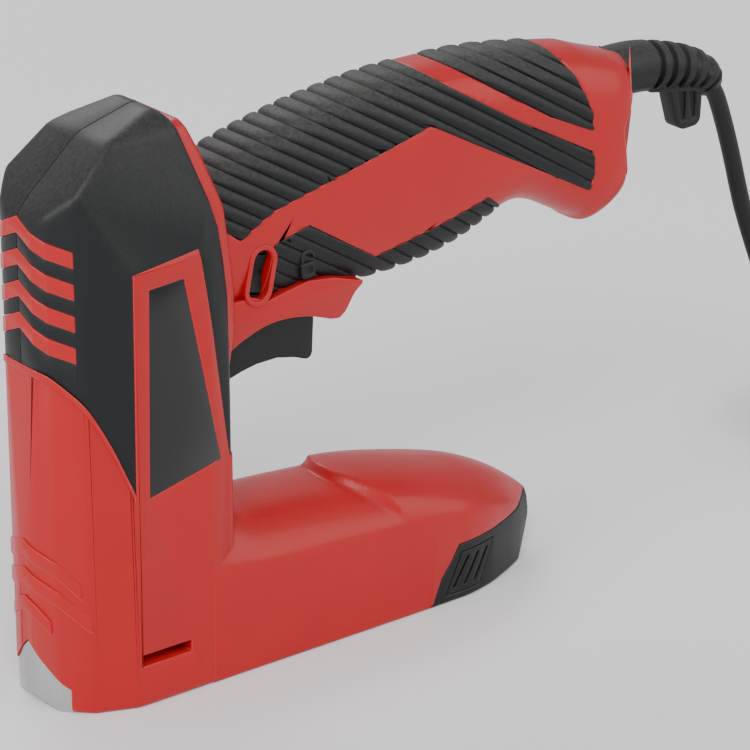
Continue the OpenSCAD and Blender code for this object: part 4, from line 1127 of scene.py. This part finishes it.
class SG_OT_staples(bpy.types.Operator):
    """Fills the channel with a glued stick of staples"""

    bl_idname = "staple_gun.staples"
    bl_label = "Staple Stick"

    def execute(self, context):
        wire = metal("Galvanised Staple", (0.66, 0.66, 0.65), 0.28, (1, 1, 0.1))
        low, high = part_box("staple_stick")
        count = sizes().staple_count
        pitch = (high.x - low.x) / count
        tree, given, out = repeat_tree("Staple Stick", [
            ("Count", "NodeSocketInt", 50), ("Pitch", "NodeSocketFloat", 0.0012),
            ("Material", "NodeSocketMaterial", None)])
        offset = node(tree, "ShaderNodeCombineXYZ", {}, X=given.outputs["Pitch"])
        line = node(tree, "GeometryNodeMeshLine", {"mode": "OFFSET"}, Count=given.outputs["Count"],
                    Offset=offset.outputs[0])
        placed = node(tree, "GeometryNodeInstanceOnPoints", {}, Points=line.outputs[0],
                      Instance=given.outputs["Geometry"])
        real = node(tree, "GeometryNodeRealizeInstances", {}, Geometry=placed.outputs[0])
        painted = node(tree, "GeometryNodeSetMaterial", {}, Geometry=real.outputs[0],
                       Material=given.outputs["Material"])
        tree.links.new(painted.outputs[0], out.inputs[0])
        y, z0, z1 = high.y / MM, low.z / MM, high.z / MM
        t = 1.2
        outline = [(-y, z0), (-y, z1), (y, z1), (y, z0), (y - t, z0), (y - t, z1 - t),
                   (-y + t, z1 - t), (-y + t, z0)]
        stick = prism_x("staples", outline, low.x / MM + 0.06, low.x / MM + pitch / MM - 0.06)
        soften(stick, 0.18, 2, 40)
        run_tree(stick, tree, {"Count": count, "Pitch": pitch, "Material": wire})
        dressed(stick, "housing", wire, ["staple_stick"])
        return {"FINISHED"}


class SG_OT_inner_parts(bpy.types.Operator):
    """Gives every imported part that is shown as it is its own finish"""

    bl_idname = "staple_gun.inner_parts"
    bl_label = "Inner Parts"

    def execute(self, context):
        sheet = metal("Zinced Sheet", (0.56, 0.56, 0.55), 0.36, (0.1, 1, 1))
        ground = metal("Ground Steel", (0.62, 0.62, 0.62), 0.24, (1, 1, 0.08))
        spring = metal("Spring Wire", (0.5, 0.5, 0.5), 0.25)
        brass = metal("Brass", (0.75, 0.58, 0.28), 0.28)
        copper = metal("Enamelled Copper", (0.55, 0.20, 0.07), 0.3, (1, 1, 6), 0.0001)
        cream = moulding("Cream Nylon", (0.62, 0.56, 0.42), 0.45, 0.0008, 0.00005, 0.3, 0.05)
        switch = moulding("Switch Moulding", (0.015, 0.015, 0.017), 0.4, 0.0007, 0.00005, 0.5, 0.05)
        finishes = {
            "nose_piece": sheet, "magazine_channel": sheet, "drawer_rail": sheet, "solenoid_frame": sheet,
            "bumper_bracket": sheet, "blade_guide": ground, "pusher_rod": ground, "pusher": sheet,
            "armature": ground, "blade_carrier": ground, "driver_blade": ground, "trigger_pin": ground,
            "push_rod": brass, "pusher_spring": spring, "tab_springs": spring, "return_spring": spring,
            "trigger_spring": spring, "blade_screws": metal("Zinc Plated Screw", (0.58, 0.57, 0.55), 0.32),
            "clamp_screws": metal("Zinc Plated Screw", (0.58, 0.57, 0.55), 0.32), "winding": copper,
            "bobbin": cream, "terminal_block": cream,
            "upper_bumper": soft_rubber(), "lower_bumper": soft_rubber(),
            "microswitch": switch, "cord_clamp": switch,
            "switch_button": moulding("Switch Button", (0.4, 0.03, 0.02), 0.4, 0.0006, 0.00004, 0.3, 0.02),
            "circuit_board": moulding("Board", (0.02, 0.12, 0.05), 0.35, 0.0006, 0.00003, 0.3, 0.05,
                                      coat=0.4),
            "board_parts": moulding("Board Parts", (0.03, 0.035, 0.05), 0.4, 0.0005, 0.00003, 0.4, 0.05),
            "inner_leads": moulding("Wire Cover", (0.10, 0.04, 0.02), 0.45, 0.0006, 0.00004, 0.3, 0.03),
        }
        for name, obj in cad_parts.items():
            if obj.hide_render:
                continue
            if name not in finishes:
                raise RuntimeError(f"{name} has no finish")
            obj.data.materials.clear()
            obj.data.materials.append(finishes[name])
        return {"FINISHED"}


class SG_OT_stage(bpy.types.Operator):
    """Sets a plain pale floor, soft lights and a pale surrounding"""

    bl_idname = "staple_gun.stage"
    bl_label = "Stage"

    def lamp(self, name, place, target, size, power):
        data = bpy.data.lights.new(name, "AREA")
        data.shape, data.size, data.energy = "DISK", size, power
        obj = add_object(name, data)
        obj.location = place
        obj.rotation_mode = "QUATERNION"
        obj.rotation_quaternion = (Vector(target) - Vector(place)).to_track_quat("-Z", "Y")

    def execute(self, context):
        half = sizes().floor_size / 2 / MM
        corners = [(-half, -half, 0), (half, -half, 0), (half, half, 0), (-half, half, 0)]
        floor = add_mesh("floor", corners, [(0, 1, 2, 3)])
        material = bpy.data.materials.new("Pale Floor")
        material.use_nodes = True
        tree = material.node_tree
        shader = tree.nodes["Principled BSDF"]
        place = node(tree, "ShaderNodeTexCoord").outputs["Object"]
        mottle = node(tree, "ShaderNodeTexNoise", {}, Vector=place, Scale=3.0, Detail=2.0)
        base = node(tree, "ShaderNodeMix", {"data_type": "RGBA"}, Factor=mottle.outputs["Fac"],
                    i6=(0.86, 0.86, 0.86, 1), i7=(0.90, 0.90, 0.90, 1)).outputs[2]
        tree.links.new(base, shader.inputs["Base Color"])
        shader.inputs["Roughness"].default_value = 0.75
        shader.inputs["Specular IOR Level"].default_value = 0.2
        floor.data.materials.append(material)
        floor.location.z = -0.0002
        world = bpy.data.worlds.new("studio")
        world.use_nodes = True
        world.node_tree.nodes["Background"].inputs["Color"].default_value = (0.93, 0.95, 1.0, 1)
        world.node_tree.nodes["Background"].inputs["Strength"].default_value = 0.6
        context.scene.world = world
        self.lamp("key", (-1.1, -1.5, 1.9), (0.1, 0, 0.08), 1.2, 34)
        self.lamp("front", (-1.6, -0.2, 0.7), (0.05, 0, 0.1), 0.9, 14)
        self.lamp("fill", (1.3, -1.4, 1.0), (0.1, 0, 0.08), 1.6, 14)
        self.lamp("back", (0.6, 1.6, 1.6), (0.1, 0, 0.12), 1.2, 16)
        return {"FINISHED"}


class SG_PT_panel(bpy.types.Panel):
    """Lists the staple gun's sizes, colours and build steps"""

    bl_idname = "SG_PT_panel"
    bl_label = "Staple Gun"
    bl_space_type = "VIEW_3D"
    bl_region_type = "UI"
    bl_category = "Staple Gun"

    def draw(self, context):
        for group_name in ("staple_gun_sizes", "staple_gun_colours"):
            settings = getattr(context.scene, group_name)
            for key in settings.__annotations__:
                self.layout.prop(settings, key)
        for step in STEPS:
            self.layout.operator(step.bl_idname)


STEPS = (SG_OT_camera, SG_OT_plug, SG_OT_tie, SG_OT_lead, SG_OT_head_shell, SG_OT_head_cover,
         SG_OT_magazine, SG_OT_grip, SG_OT_trigger, SG_OT_drawer, SG_OT_relief, SG_OT_screws,
         SG_OT_staples, SG_OT_inner_parts, SG_OT_stage)
CLASSES = (StapleGunSizes, StapleGunColours) + STEPS + (SG_PT_panel,)


def register():
    for c in CLASSES:
        bpy.utils.register_class(c)
    bpy.types.Scene.staple_gun_sizes = PointerProperty(type=StapleGunSizes)
    bpy.types.Scene.staple_gun_colours = PointerProperty(type=StapleGunColours)


def unregister():
    del bpy.types.Scene.staple_gun_colours
    del bpy.types.Scene.staple_gun_sizes
    for c in reversed(CLASSES):
        bpy.utils.unregister_class(c)


def main():
    register()
    for step in STEPS:
        area, name = step.bl_idname.split(".")
        getattr(getattr(bpy.ops, area), name)()


if __name__ == "__main__":
    main()
